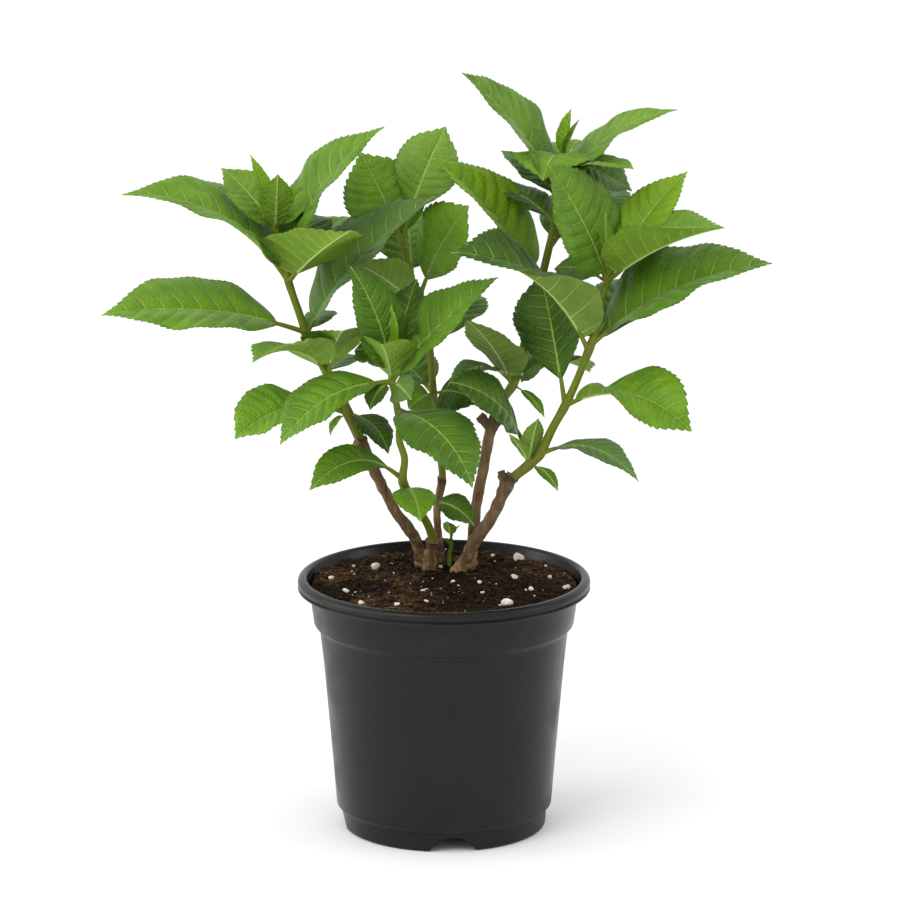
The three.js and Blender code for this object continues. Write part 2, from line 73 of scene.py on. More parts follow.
# Notches in the foot, the first turned a little from the front, in degrees, and the
# reach of their cutter beyond the pot and below the ground
NOTCH_TURN = 5
NOTCH_DEPTH = 28
NOTCH_WIDTH = 25
NOTCH_TOP_WIDTH = 13
NOTCH_HEIGHT = 8.5
NOTCH_ROUND = 4
NOTCH_FLARE = 1.5
TOOL_REACH = 90
TOOL_BELOW = 6

# Soil: its hidden skirt, its edge, and the low mound round the canes
SOIL_SKIRT = [(70, 133), (75.2, 139.8)]
SOIL_EDGE = 75.2
SOIL_SHOWS = 139.5
MOUND_RADIUS = 37
MOUND_FOOT = 48
MOUND_RISE = 1.6
EDGE_FALL = 1.2

# Larger perlite bits, as x, y and size
PERLITE = [
    (43, 50, 6.0), (-39, 26, 5.2), (35, -47, 6.4), (-55, -21, 4.6), (-46, -46, 4.4),
    (49, -19, 3.8), (40, 0, 4.0), (69, -13, 4.6), (5, -10, 3.2), (-12, -27, 3.0),
    (-26, -50, 3.0), (-2, 24, 3.0), (-64, 8, 3.6), (31, -54, 3.0), (-30, 30, 2.6),
    (28, 54, 3.0), (58, 36, 2.8), (-10, -46, 2.4), (20, -12, 3.2), (60, 10, 2.6),
]

# Blades: mesh columns on each side of the midrib, how far the side veins sweep forward,
# pairs of veins, distance between teeth, and the width from which a leaf has full relief
COLUMNS = 8
SWEEP = 1.05
VEINS = 9.5
TOOTH_PITCH = 3.1
FULL_WIDTH = 52


class Leaf(NamedTuple):
    """One leaf: its node on the shoot, its tip above the soil, its width, its look and its form."""
    at: float
    tip: tuple
    wide: float
    look: str
    stalk: float
    bow: float
    roll: float = 0
    twist: float = 0
    fold: float = 15
    belly: float = 0.45


# Looks of a leaf: how mature its green is, and how blue. The young and bright greens also paint the
# glow of leaves lit from behind; the blue paints shade and a grey sheen.
LOOKS = {
    "young": (0, 0),
    "pale": (0.1, 0.35),
    "bright": (0.25, 0),
    "fresh": (0.42, 0),
    "mid": (0.58, 0),
    "deep": (0.85, 0),
    "cool": (0.8, 0.8),
    "grey": (0.45, 0.7),
}

# Woody canes: path above the soil line, girth at foot and top, flare of the foot, and stubs of
# cut wood
CANES = {
    "left": (
        [(-12, 31, -6), (-13, 30, 2.3), (-14, 26, 11), (-16.5, 20, 20), (-21, 14, 29),
         (-27, 9, 38), (-34, 5, 53), (-40, 2, 66), (-47, 0, 84)],
        (3.5, 2.8), 1.25, [(7.7, (-5, -6, 4), 2.5)],
    ),
    "right": (
        [(7, 15, -6), (8, 14, 2.3), (12.5, 12, 10), (17.5, 9, 22), (24, 5, 32), (29, 3, 41.5),
         (34, 0, 54), (39, -1, 62)],
        (3.7, 3.4), 1.15, [(6.2, (-3, 1, 9), 2.5)],
    ),
    "middle": (
        [(15, 26, -6), (15, 26, 2.3), (16, 25, 14), (18, 24, 36), (22, 24, 58), (26, 26, 80),
         (29, 27, 91)],
        (3.3, 2.9), 1.3, [(5.3, (-7, 0, 7), 2.6), (5.2, (7, -2, 8), 2.4)],
    ),
    "back": (
        [(-2, 31, -6), (-2, 31, 2.3), (-3, 31, 16), (-4, 30, 34), (-1, 28, 54)],
        (2.3, 2.1), 1.3, [],
    ),
    "front": (
        [(-8, 21, -6), (-8, 20, 2.3), (-8, 18.5, 9), (-7, 17, 15), (-6.5, 16, 20)],
        (3.7, 3.7), 1.05, [],
    ),
}

# Green shoots: the stem's path above the soil line, its girth and its leaves
SHOOTS = {
    "left": (
        [(-47, 0, 83), (-49, 0, 87), (-54, 1, 98), (-60, 2, 112), (-65, 2, 120), (-77, 3, 144),
         (-82, 3, 158), (-87, 4, 173), (-89, 4, 183), (-94, 4, 202), (-98, 4, 212)],
        (3, 1.6), [
        Leaf(6, (-179, -10, 225.5), 74, "bright", 10, 0.27, roll=-10, fold=21, belly=0.36),
        Leaf(7, (-33, 6, 261), 62, "fresh", 8, 0.18, roll=13, fold=19, belly=0.4),
        Leaf(6, (-52, -66, 216), 62, "pale", 10, 0.05, roll=-8, fold=28, belly=0.34),
        Leaf(7, (-80, 62, 200), 46, "deep", 8, 0.12, fold=20),
        Leaf(8, (-108, 3, 246), 12, "young", 3, 0.05, roll=-60, fold=30),
        Leaf(8, (-92, -14, 238), 20, "young", 3, 0, fold=12, belly=0.5),
        Leaf(8, (-125, 24, 234), 32, "pale", 4, 0.1, roll=-20, fold=20),
        Leaf(4, (-191, -15, 158), 68, "bright", 17, 0.13, roll=-15, fold=16, belly=0.5),
        Leaf(4, (-5, 2, 222), 64, "grey", 8, 0.12, roll=17, fold=24),
        Leaf(3, (-106, -45, 138), 48, "pale", 8, 0.32, roll=10, fold=20),
        Leaf(3, (-56, -42, 155), 40, "pale", 8, 0.15, fold=25),
        Leaf(1, (-117, -20, 88), 44, "bright", 22, 0.32, roll=-20, fold=25, belly=0.55),
        Leaf(1, (-31, -14, 78), 28, "deep", 5, 0.35, fold=10),
        Leaf(8, (-76, 18, 226), 24, "bright", 4, 0.1, roll=20, fold=20),
        Leaf(4, (-62, 36, 149), 18, "grey", 4, 0.2, fold=10),
        Leaf(3, (-60, 60, 118), 30, "mid", 8, 0.08),
        Leaf(6, (-54, 74, 196), 46, "fresh", 8, 0.16),
        Leaf(1, (-64, -5, 86), 8, "bright", 3, 0.3, fold=25),
    ]),
    "back": (
        [(-1, 28, 53), (-1, 28, 57), (-6, 32, 102), (-8, 34, 127), (-13, 36, 149), (-18, 37, 167),
         (-24, 38, 189), (-27, 38, 196)],
        (2.2, 1.3), [
        Leaf(5, (-48, 56, 237), 54, "bright", 4, 0.05, roll=-25),
        Leaf(5, (1, 46, 253.5), 40, "pale", 20, 0.05, roll=46, fold=8, belly=0.54),
        Leaf(3.3, (14, 26, 212), 48, "bright", 14, 0.1, roll=55, belly=0.56),
        Leaf(3, (-49, 20, 180), 30, "fresh", 10, 0.1, roll=60, fold=20),
        Leaf(1, (-20, 12, 98), 26, "pale", 4, 0.15, roll=-50, fold=10),
        Leaf(1, (20, 15, 100), 36, "deep", 4, 0.25, roll=35, fold=10),
        Leaf(1, (-48, 92, 116), 44, "mid", 8, 0.16),
        Leaf(2, (14, 98, 146), 46, "mid", 10, 0.16),
        Leaf(4, (-22, 100, 196), 46, "fresh", 8, 0.16),
    ]),
    "front": (
        [(-6.5, 16, 17), (-6.5, 16, 21), (-9, 12, 30), (-14, 4, 41), (-23, -11, 61),
         (-22, -17, 76), (-25, -21, 88), (-25, -25, 100), (-27, -27, 113), (-29, -28, 123),
         (-30, -28, 136)],
        (2.6, 1.5), [
        Leaf(8, (-91, -50, 92), 45, "fresh", 8, 0.27, roll=-12, fold=18, belly=0.52),
        Leaf(8, (-52, -34, 190), 36, "mid", 8, 0.12, roll=-62, belly=0.42),
        Leaf(8, (30, -30, 183), 54, "fresh", 8, 0.08, roll=20, fold=20, belly=0.4),
        Leaf(8, (-34, -62, 152), 40, "bright", 4, 0.12, fold=40),
        Leaf(9, (-50, -16, 138), 28, "deep", 4, 0.2, roll=-30, fold=20),
        Leaf(8, (-18, -46, 117), 20, "grey", 4, 0.15, roll=60),
        Leaf(8, (-41, -38, 109), 18, "deep", 4, 0.3),
        Leaf(9, (-29, -26, 166), 16, "young", 3, 0.05, fold=30),
        Leaf(8, (-15, 8, 174), 34, "deep", 6, 0.12, fold=20),
        Leaf(6.5, (16, -60, 70), 57, "mid", 4, 0.3, fold=8, belly=0.42),
        Leaf(3.1, (-75, -42, 64), 24, "fresh", 9, 0.46, roll=-35, fold=22, belly=0.6),
        Leaf(2.8, (-13, -42, 46), 25, "bright", 3, 0.3, fold=8, belly=0.48),
        Leaf(2.2, (17, -8, 35), 20, "deep", 12, 0.36, roll=30),
    ]),
    "middle": (
        [(29, 27, 90), (31, 27, 95), (34, 27, 101), (39, 28, 108), (43, 29, 119), (46, 30, 133),
         (53, 32, 160), (59, 34, 185), (62, 36, 200), (65, 37, 213), (67, 37, 236)],
        (2.9, 1.5), [
        Leaf(8, (10, 20, 289), 64, "fresh", 8, 0.12, roll=-25, fold=18, belly=0.38),
        Leaf(8, (131, 36, 265), 56, "bright", 8, 0.27, roll=4, fold=12, belly=0.42),
        Leaf(8, (32, 55, 238), 36, "grey", 6, 0.12),
        Leaf(9, (71.5, 40, 265), 14, "young", 3, 0.05, fold=25),
        Leaf(9, (76, 34, 260), 14, "young", 3, 0.05, fold=25),
        Leaf(9, (106, 0, 238), 32, "bright", 4, 0.05, fold=10),
        Leaf(9, (55, 2, 231), 46, "bright", 2, 0.4, fold=8),
        Leaf(5.3, (-6, 22, 240), 60, "young", 8, 0.08, roll=-25, fold=26, belly=0.42),
        Leaf(9, (106, 32, 219), 40, "cool", 4, 0.1, roll=18, fold=12),
        Leaf(2, (13, 0, 152), 42, "mid", 6, 0.12),
        Leaf(2, (2, 4, 113), 28, "grey", 8, 0.5, fold=10),
        Leaf(2, (62, 14, 126), 30, "grey", 8, 0.12, roll=30),
        Leaf(7, (27, 60, 218), 32, "deep", 6, 0.15),
        Leaf(2, (57, 14, 92), 10, "fresh", 6, 0.2),
        Leaf(4, (88, 112, 138), 44, "mid", 10, 0.16),
        Leaf(6, (104, 100, 206), 52, "mid", 10, 0.16),
        Leaf(8, (76, 100, 236), 44, "fresh", 6, 0.16),
        Leaf(3, (84, 78, 104), 44, "mid", 8, 0.16),
    ]),
    "right": (
        [(39, -1, 60), (40, -1, 62), (48, -2, 69), (54, -2, 75), (61, -2, 90), (68, -2, 103),
         (74, -1, 116), (81, 0, 134), (86, 1, 149), (89, 2, 166), (91, 3, 173), (93, 3, 190)],
        (3, 1.5), [
        Leaf(6.2, (183, -12, 187), 80, "fresh", 12, 0.16, roll=15, fold=22, belly=0.4),
        Leaf(9, (155, -30, 211), 62, "pale", 8, 0.12, roll=-12, twist=25, fold=40, belly=0.36),
        Leaf(9, (137, 30, 231), 37, "young", 8, 0.1, roll=19, fold=18),
        Leaf(9, (57, -10, 243), 60, "fresh", 6, 0.08, roll=-54, fold=14, belly=0.42),
        Leaf(9, (90, -4, 214), 12, "young", 3, 0.08, roll=-20, fold=10),
        Leaf(6, (4, -46, 200), 68, "deep", 8, 0.27, roll=20, twist=-62, fold=28, belly=0.42),
        Leaf(4, (54, 24, 175), 46, "deep", 15, 0.05, roll=-58, fold=14, belly=0.6),
        Leaf(4, (138, -35, 96), 47, "bright", 6, 0.36, roll=-36, twist=105, fold=27, belly=0.57),
        Leaf(2, (109, -30, 66), 34, "grey", 8, 0.38, fold=12),
        Leaf(1, (64, -25, 59), 10, "fresh", 6, 0.25, fold=12),
        Leaf(1, (3, -30, 123), 44, "deep", 20, 0.3, roll=-35, fold=10),
        Leaf(9, (62, 25, 176), 28, "grey", 8, 0.2, roll=-35),
        Leaf(1, (53, -10, 98), 16, "bright", 4, 0.1),
        Leaf(1, (36, -14, 90), 12, "bright", 3, 0.1),
        Leaf(6, (122, 84, 158), 48, "mid", 10, 0.16),
        Leaf(9, (112, 72, 190), 46, "mid", 8, 0.16),
    ]),
    "sprout": (
        [(3, 25, -4), (3, 25, 2.3), (3, 25, 9), (4, 24, 15), (4, 23, 20)],
        (1.3, 0.9), [
        Leaf(3, (1.5, 18, 31), 9, "pale", 2, 0.1, fold=18),
        Leaf(3, (9, 20, 28), 8, "pale", 2, 0.1, fold=18),
        Leaf(2, (-2, 14, 22), 7, "bright", 2, 0.15, fold=18),
    ]),
}


def tint(red, green, blue):
    """A colour as picked on a screen, 0 to 255, as the linear values that shaders use."""
    def linear(value):
        value /= 255
        return value / 12.92 if value <= 0.04045 else ((value + 0.055) / 1.055) ** 2.4
    return (linear(red), linear(green), linear(blue))


def measure(name, value, says, low=0, **more):
    return bpy.props.FloatProperty(name=name, description=says, default=value, min=low, **more)


def size(name, value, says):
    return measure(name, value, says, unit="LENGTH", precision=4)


def share(name, value, says, top=1.0):
    return measure(name, value, says, max=top, subtype="FACTOR")


def colour(name, rgb, says):
    return bpy.props.FloatVectorProperty(
        name=name, description=says, default=tint(*rgb), size=3, min=0, max=1, subtype="COLOR"
    )


def number(name, value, says):
    return bpy.props.IntProperty(name=name, description=says, default=value, min=1)


class PotLook(bpy.types.PropertyGroup):
    """Sizes and plastic of the pot."""
    sides: number("Sides", 180, "Segments round the pot")
    plastic: colour("Plastic", (20, 20, 20), "Charcoal of the moulded plastic")
    dust: colour("Dust", (46, 46, 43), "Pale dust that dulls the plastic")
    roughness: share("Roughness", 0.34, "How dull the plastic is")


class SoilLook(bpy.types.PropertyGroup):
    """Grains and colours of the potting mix."""
    lump: size("Lump height", 0.0034, "Height of the lumps in the surface")
    crumbs: number("Crumbs", 3400, "Loose peat crumbs")
    fibres: number("Fibres", 300, "Loose fibres of peat and bark")
    specks: number("Perlite specks", 70, "Small perlite grains")
    peat: colour("Peat", (60, 43, 29), "Moist peat")
    dry: colour("Dry peat", (122, 89, 58), "Drier crumbs and fibres")
    perlite: colour("Perlite", (232, 219, 206), "Perlite grains")


class CaneLook(bpy.types.PropertyGroup):
    """Bark of the canes."""
    sides: number("Sides", 26, "Segments round a cane")
    ridge: size("Ridge height", 0.00055, "Height of the ridges in the bark")
    bark: colour("Bark", (110, 85, 55), "Brown bark")
    flake: colour("Flaking bark", (168, 138, 98), "Thin paler layer that flakes off")
    crack: colour("Cracks", (52, 36, 24), "Dark cracks and old leaf scars")
    wood: colour("Cut wood", (158, 124, 100), "Dry wood where a cane was cut")


class LeafLook(bpy.types.PropertyGroup):
    """Build and greens of the leaves and green stems."""
    thickness: size("Leaf thickness", 0.0006, "Thickness of a blade")
    tooth: size("Tooth", 0.0012, "Height of the teeth on the margin of a wide leaf")
    quilt: size("Quilting", 0.0020, "How far the blade swells between its veins")
    # Young and bright greens also serve as painted glow of backlit leaves; the blue green as
    # painted shade and grey sheen
    young: colour("Young green", (122, 162, 28), "Upper side of the youngest leaves")
    bright: colour("Bright green", (94, 136, 21), "Upper side of young leaves")
    grown: colour("Grown green", (70, 108, 20), "Upper side of grown leaves")
    deep: colour("Deep green", (42, 72, 15), "Upper side of the darkest leaves")
    cool: colour("Blue green", (84, 112, 68), "Upper side of shaded, bluish leaves")
    vein: colour("Vein", (166, 192, 92), "Midribs and side veins")
    under: colour("Underside", (118, 144, 62), "Pale underside of a leaf")
    under_young: colour("Young underside", (122, 156, 46), "Underside of young leaves")
    stem: colour("Stem", (106, 122, 26), "Green shoots and leaf stalks")
    stem_old: colour("Old stem", (104, 84, 40), "Shoots where they turn woody")


class StageLook(bpy.types.PropertyGroup):
    """Camera, floor and lights."""
    distance: size("Camera distance", 3.2, "From the camera to the point it looks at")
    tilt: measure("Camera tilt", math.radians(13.8), "How far the camera looks down",
                  low=-math.pi / 2, subtype="ANGLE")
    lens: measure("Lens", 227.3, "Focal length in millimetres", low=20)
    floor: colour("Floor", (252, 252, 252), "Pale floor")
    sky: share("Studio light", 1.02, "Even light from all round", top=4)
    key: measure("Key light", 30, "Watts of the large light on the left")
    rim: measure("Side light", 22, "Watts of the light at the left side")


# Nodes

class Web:
    """A node tree, with short calls for the nodes that the materials share."""

    def __init__(self, tree):
        self.tree = tree

    def link(self, value, socket):
        """Joins a socket to another one, or gives it a number, vector or colour."""
        if isinstance(value, bpy.types.NodeSocket):
            self.tree.links.new(value, socket)
        elif socket.type == "RGBA":
            socket.default_value = (*value, 1)
        else:
            socket.default_value = value

    def node(self, kind, settings, inputs):
        made = self.tree.nodes.new("ShaderNode" + kind)
        for name, value in settings.items():
            setattr(made, name, value)
        for key, value in inputs.items():
            self.link(value, made.inputs[key])
        return made.outputs

    def maths(self, operation, *values):
        return self.node("Math", {"operation": operation}, dict(enumerate(values)))[0]

    def times(self, a, b):
        return self.maths("MULTIPLY", a, b)

    def plus(self, a, b):
        return self.maths("ADD", a, b)

    def less(self, a, b):
        return self.maths("SUBTRACT", a, b)

    def larger(self, a, b):
        return self.maths("MAXIMUM", a, b)

    def vector(self, operation, a, b=(0, 0, 0)):
        return self.node("VectorMath", {"operation": operation}, {0: a, 1: b})

    def xyz(self, vector):
        return self.node("SeparateXYZ", {}, {0: vector})

    def span(self, value, low, high, to_low=0.0, to_high=1.0):
        """Maps a value smoothly from one range to another."""
        return self.node("MapRange", {"interpolation_type": "SMOOTHSTEP"},
                         dict(enumerate((value, low, high, to_low, to_high))))[0]

    def mix(self, amount, first, second):
        """Mixes two colours by a mask."""
        return self.node("Mix", {"data_type": "RGBA"}, {0: amount, 6: first, 7: second})[2]

    def cloud(self, place, scale, detail, rough=0.55):
        return self.node("TexNoise", {}, {"Vector": place, "Scale": scale, "Detail": detail,
                                          "Roughness": rough})["Fac"]

    def shared(self, maker, **inputs):
        """Places a shared effect, made once."""
        if maker not in GROUPS:
            GROUPS[maker] = maker()
        return self.node("Group", {"node_tree": GROUPS[maker]}, inputs)


class Surface(Web):
    """A material's nodes, with its shader and the place of each point on the object."""

    def __init__(self, name):
        self.material = bpy.data.materials.new(name)
        self.material.use_nodes = True
        super().__init__(self.material.node_tree)
        self.shader = self.tree.nodes["Principled BSDF"]
        self.place = self.node("TexCoord", {}, {})["Object"]

    def stored(self, name):
        return self.node("Attribute", {"attribute_name": name}, {})

    def mottle(self, scale, low, high):
        return self.shared(mottle_group, Place=self.place, Scale=scale, Low=low, High=high)[0]

    def grain(self, scale, stretch):
        return self.shared(grain_group, Place=self.place, Scale=scale, Stretch=stretch)[0]

    def finish(self, colour, height=None, depth=0, strength=0, **sockets):
        """Feeds the shader its colour, its bump if it has one, and its other sockets."""
        if height is not None:
            bump = {"Strength": strength, "Distance": depth, "Height": height}
            sockets["Normal"] = self.node("Bump", {}, bump)[0]
        for name, value in {"Base Color": colour, **sockets}.items():
            self.link(value, self.shader.inputs[name.replace("_", " ")])
        return self.material


GROUPS = {}
LEAF_GLOW = {"Subsurface_Weight": 0.2, "Subsurface_Radius": (0.0012, 0.003, 0.0004)}


def new_group(name, takes, gives):
    """An empty node group with named sockets, and the sockets of its two ends."""
    group = bpy.data.node_groups.new(name, "ShaderNodeTree")
    for label in takes + gives:
        vector = label in ("Place", "Blade")
        group.interface.new_socket(
            label, in_out="INPUT" if label in takes else "OUTPUT",
            socket_type="NodeSocketVector" if vector else "NodeSocketFloat",
        )
    start, end = group.nodes.new("NodeGroupInput"), group.nodes.new("NodeGroupOutput")
    return Web(group), start.outputs, end.inputs


def mottle_group():
    """Soft blotches: a mask that is high in patches of a given size."""
    web, given, out = new_group("Mottle", ("Place", "Scale", "Low", "High"), ("Mask",))
    lumps = web.cloud(given["Place"], given["Scale"], 4.0)
    web.link(web.span(lumps, given["Low"], given["High"]), out["Mask"])
    return web.tree


def grain_group():
    """Long grain along Z or fine pitting, as a height."""
    web, given, out = new_group("Grain", ("Place", "Scale", "Stretch"), ("Height",))
    stretch = web.node("CombineXYZ", {}, {0: 1.0, 1: 1.0, 2: given["Stretch"]})[0]
    place = web.vector("MULTIPLY", given["Place"], stretch)[0]
    web.link(web.cloud(place, given["Scale"], 5.0, 0.6), out["Height"])
    return web.tree


def vein_group():
    """Midrib, side veins and the fine net between them, from the blade's own map, with a mask of
    painted shade in the valleys beside the side veins.
    """
    web, given, out = new_group("Leaf veins", ("Blade", "Edge", "Place"),
                                ("Veins", "Net", "Quilt", "Valley shade"))
    blade = web.xyz(given["Blade"])
    across = web.maths("ABSOLUTE", web.less(blade[0], 0.5))
    along = web.times(blade[1], 16.0)
    width = web.span(along, 0.0, 9.0, 0.0105, 0.004)
    rib = web.less(1.0, web.span(across, web.times(width, 0.45), width))
    nearest = web.maths("ABSOLUTE", web.less(web.maths("FRACT", web.plus(along, 0.5)), 0.5))
    fade = web.span(given["Edge"], 0.05, 0.9, 0.8, 0.15)
    side = web.times(web.less(1.0, web.span(nearest, 0.01, 0.045)), fade)
    veins = web.larger(rib, side)
    cells = web.node("TexVoronoi", {"feature": "DISTANCE_TO_EDGE"},
                     {"Vector": given["Place"], "Scale": 330.0, "Randomness": 0.9})[0]
    web.link(veins, out["Veins"])
    web.link(web.less(1.0, web.span(cells, 0.02, 0.14)), out["Net"])
    web.link(web.less(web.span(cells, 0.0, 0.3), web.times(veins, 0.8)), out["Quilt"])
    # Painted shade: darker in the valleys beside each side vein, less towards the margin.
    valley_shade = web.less(1.0, web.span(nearest, 0.04, 0.36))
    web.link(web.times(valley_shade, web.span(given["Edge"], 0.97, 0.6)), out["Valley shade"])
    return web.tree


def pot_plastic(look):
    web = Surface("charcoal plastic")
    haze, scuff = web.mottle(26.0, 0.42, 0.72), web.mottle(420.0, 0.62, 0.74)
    high = web.xyz(web.place)[2]
    amount = web.plus(web.times(haze, web.span(high, 0.1, 0.145, 0.12, 0.4)),
                      web.times(scuff, 0.12))
    out = web.vector("LENGTH", web.vector("MULTIPLY", web.place, (1, 1, 0))[0])["Value"]
    # Painted shade: the inner wall between the soil and the rim is darkened almost to black.
    inside = web.times(web.span(out, 0.0786, 0.0768), web.span(high, 0.1365, 0.1385))
    shade = web.mix(amount, look.plastic, look.dust)
    shade = web.mix(web.times(inside, 0.85), shade, tint(5, 5, 5))
    dull = web.span(haze, 0, 1, look.roughness - 0.05, look.roughness + 0.1)
    return web.finish(shade, web.grain(900.0, 0.35), 0.00012, 0.5,
                      Roughness=dull, Specular_IOR_Level=0.22)


def peat(name, dark, light, scale, share_light):
    """Crumbly organic matter between two browns, black where it was watered."""
    web = Surface(name)
    amount = web.times(web.mottle(scale, 0.42, 0.7), share_light)
    black = tuple(value * 0.22 for value in dark)
    fine = web.times(web.mottle(scale * 7, 0.4, 0.7), 0.7)
    shade = web.mix(fine, web.mix(amount, dark, light), black)
    far = web.vector("DISTANCE", web.place, (0.034, -0.03, 0.142))["Value"]
    wet = web.larger(web.mottle(24.0, 0.46, 0.6), web.span(far, 0.03, 0.06, 1.0, 0.0))
    return web.finish(web.mix(web.times(wet, 0.85), shade, black), web.grain(1400.0, 1.0),
                      0.0005, 0.9, Roughness=0.92, Specular_IOR_Level=0.12)


def perlite_grain(look):
    web = Surface("perlite")
    pores = web.mottle(1500.0, 0.5, 0.72)
    amount = web.plus(web.times(pores, 0.25), web.times(web.mottle(300.0, 0.45, 0.8), 0.35))
    shade = web.mix(amount, look.perlite, look.dry)
    return web.finish(shade, pores, 0.0002, 0.7, Roughness=0.85)


def cane_bark(look):
    """Flaking brown bark, with painted highlights on the knobs and painted shade in the hollows at
    the crown, dark where `scar` says so.
    """
    web = Surface("cane bark")
    strips = web.grain(420.0, 0.14)
    patches = web.span(web.mottle(90.0, 0.4, 0.65), 0, 1, 0.25, 0.85)
    amount = web.times(web.span(strips, 0.47, 0.66), patches)
    # At the crown, painted highlights make the knobs tan and painted shade darkens the hollows
    # between them.
    crown = web.span(web.xyz(web.place)[2], 0.15, 0.172, 1.0, 0.0)
    knobs = web.mottle(150.0, 0.44, 0.58)
    lit = web.times(web.times(crown, knobs), 0.75)
    base = web.mix(lit, web.mix(amount, look.bark, look.flake), tint(158, 122, 72))
    cracks = web.times(web.span(strips, 0.44, 0.33), 0.75)
    hollow_shade = web.times(crown, web.less(0.6, knobs))
    dark = web.larger(web.larger(cracks, web.stored("scar")["Fac"]), hollow_shade)
    height = web.plus(strips, web.times(web.grain(1500.0, 0.3), 0.35))
    return web.finish(web.mix(dark, base, look.crack), height, 0.0009, 0.9, Roughness=0.8)


def cut_wood(look):
    web = Surface("cut wood")
    rings = web.mottle(700.0, 0.4, 0.65)
    return web.finish(web.mix(rings, look.wood, look.bark), rings, 0.0004, 0.8, Roughness=0.85)


def green_stem(look):
    """Green skin of shoots and stalks; `age` turns it olive and brown."""
    web = Surface("green stem")
    streaks = web.grain(500.0, 0.2)
    base = web.mix(web.stored("age")["Fac"], look.stem, look.stem_old)
    base = web.mix(web.span(streaks, 0.45, 0.7, 0, 0.25), base, look.under_young)
    base = web.mix(web.times(web.mottle(900.0, 0.6, 0.7), 0.5), base, tint(92, 84, 44))
    return web.finish(base, streaks, 0.00025, 0.6, Roughness=0.55, Specular_IOR_Level=0.22,
                      Subsurface_Weight=0.12, Subsurface_Radius=(0.0012, 0.0018, 0.0004))


def leaf_sheet(name):
    """A leaf material with the parts of the stored look and the veins."""
    web = Surface(name)
    parts = web.xyz(web.stored("leaf_look")["Vector"])
    blade = web.node("UVMap", {"uv_map": "blade"}, {})[0]
    veins = web.shared(vein_group, Blade=blade, Edge=parts[2], Place=web.place)
    return web, parts, blade, veins


def leaf_top(look):
    """Upper side: greens by age and painted backlit glow, a blue green of painted shade and sheen,
    painted shade near the stalk and beside the veins; pale veins, swollen and slightly glossy.
    """
    web, (tone, cool, edge), blade, veins = leaf_sheet("leaf upper side")
    patches = web.mottle(60.0, 0.3, 0.7)
    ramp = web.tree.nodes.new("ShaderNodeValToRGB")
    web.link(web.plus(tone, web.span(patches, 0, 1, -0.07, 0.09)), ramp.inputs[0])
    stops = ramp.color_ramp.elements
    stops[0].color, stops[1].color = (*look.young, 1), (*look.deep, 1)
    for position, rgb in ((0.3, look.bright), (0.6, look.grown)):
        stops.new(position).color = (*rgb, 1)
    base = ramp.outputs[0]
    for amount, rgb in (
        # Painted shade and grey sheen, as the blue of the cool and grey looks.
        (web.times(cool, 0.8), look.cool),
        # Painted shade: deeper green near the stalk, where less of the sky's sheen falls than on
        # the tip.
        (web.span(web.xyz(blade)[1], 0.0, 0.2, 0.28, 0.0), look.grown),
        # Painted shade in the valleys beside the side veins.
        (web.times(veins["Valley shade"], 0.1), tuple(0.62 * value for value in look.deep)),
        (web.span(edge, 0.0, 0.75, 0.16, 0.0), look.young),
        (web.span(edge, 0.9, 1.0, 0.0, 0.45), look.deep),
        (web.times(veins["Net"], 0.04), look.vein),
        (web.times(veins["Veins"], 0.8), look.vein),
    ):
        base = web.mix(amount, base, rgb)
    dull = web.span(patches, 0, 1, 0.42, 0.55)
    return web.finish(base, veins["Quilt"], 0.0005, 0.45, Roughness=dull, Specular_IOR_Level=0.22,
                      Sheen_Weight=0.04, Sheen_Roughness=0.4, **LEAF_GLOW)


def leaf_underside(look):
    """Underside: paler and duller, with raised veins."""
    web, (tone, cool, edge), blade, veins = leaf_sheet("leaf underside")
    base = web.mix(web.less(1.0, web.span(tone, 0.0, 0.7)), look.under, look.under_young)
    for amount, rgb in (
        (web.span(web.mottle(70.0, 0.3, 0.7), 0, 1, 0.0, 0.25), look.grown),
        (web.times(veins["Net"], 0.15), tint(104, 134, 52)),
        (web.times(veins["Veins"], 0.9), tint(180, 202, 120)),
    ):
        base = web.mix(amount, base, rgb)
    return web.finish(base, web.less(1.0, veins["Quilt"]), 0.0004, 0.6, Roughness=0.62,
                      Specular_IOR_Level=0.2, **LEAF_GLOW)


# Mesh helpers

def select_only(thing=None):
    """Selects one object and makes it active, or selects none."""
    for other in list(bpy.context.selected_objects):
        other.select_set(False)
    bpy.context.view_layer.objects.active = thing
    if thing:
        thing.select_set(True)


def rename(thing, name):
    thing.name = name
    thing.data.name = name
    return thing


def reshape(thing, kind, **settings):
    """Adds a modifier with its settings and applies it."""
    select_only(thing)
    added = thing.modifiers.new(kind.lower(), kind)
    for name, value in settings.items():
        setattr(added, name, value)
    bpy.ops.object.modifier_apply(modifier=added.name)


def dress(thing, nodes, slot, *materials):
    """Gives a finished piece its materials, its body and the nodes it stands for; the slot is not
    used.
    """
    for one in materials:
        thing.data.materials.append(one)
    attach(thing, BODY)
    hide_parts(*nodes)


def turned(name, rows, sides):
    """A closed turned body: one disc, drawn up a profile by extruding and scaling."""
    select_only()
    radius, height = rows[0]
    bpy.ops.mesh.primitive_circle_add(
        vertices=sides, radius=radius * MM, fill_type="NGON", location=(0, 0, height * MM)
    )
    made = rename(bpy.context.object, name)
    bpy.ops.object.transform_apply()
    bpy.ops.object.mode_set(mode="EDIT")
    bpy.ops.mesh.select_all(action="SELECT")
    for next_radius, next_height in rows[1:]:
        rise = (0, 0, (next_height - height) * MM)
        bpy.ops.mesh.extrude_region_move(TRANSFORM_OT_translate={"value": rise})
        grow = next_radius / radius
        bpy.ops.transform.resize(value=(grow, grow, 1), center_override=(0, 0, 0))
        radius, height = next_radius, next_height
    bpy.ops.mesh.select_all(action="SELECT")
    bpy.ops.mesh.normals_make_consistent(inside=False)
    bpy.ops.object.mode_set(mode="OBJECT")
    return made


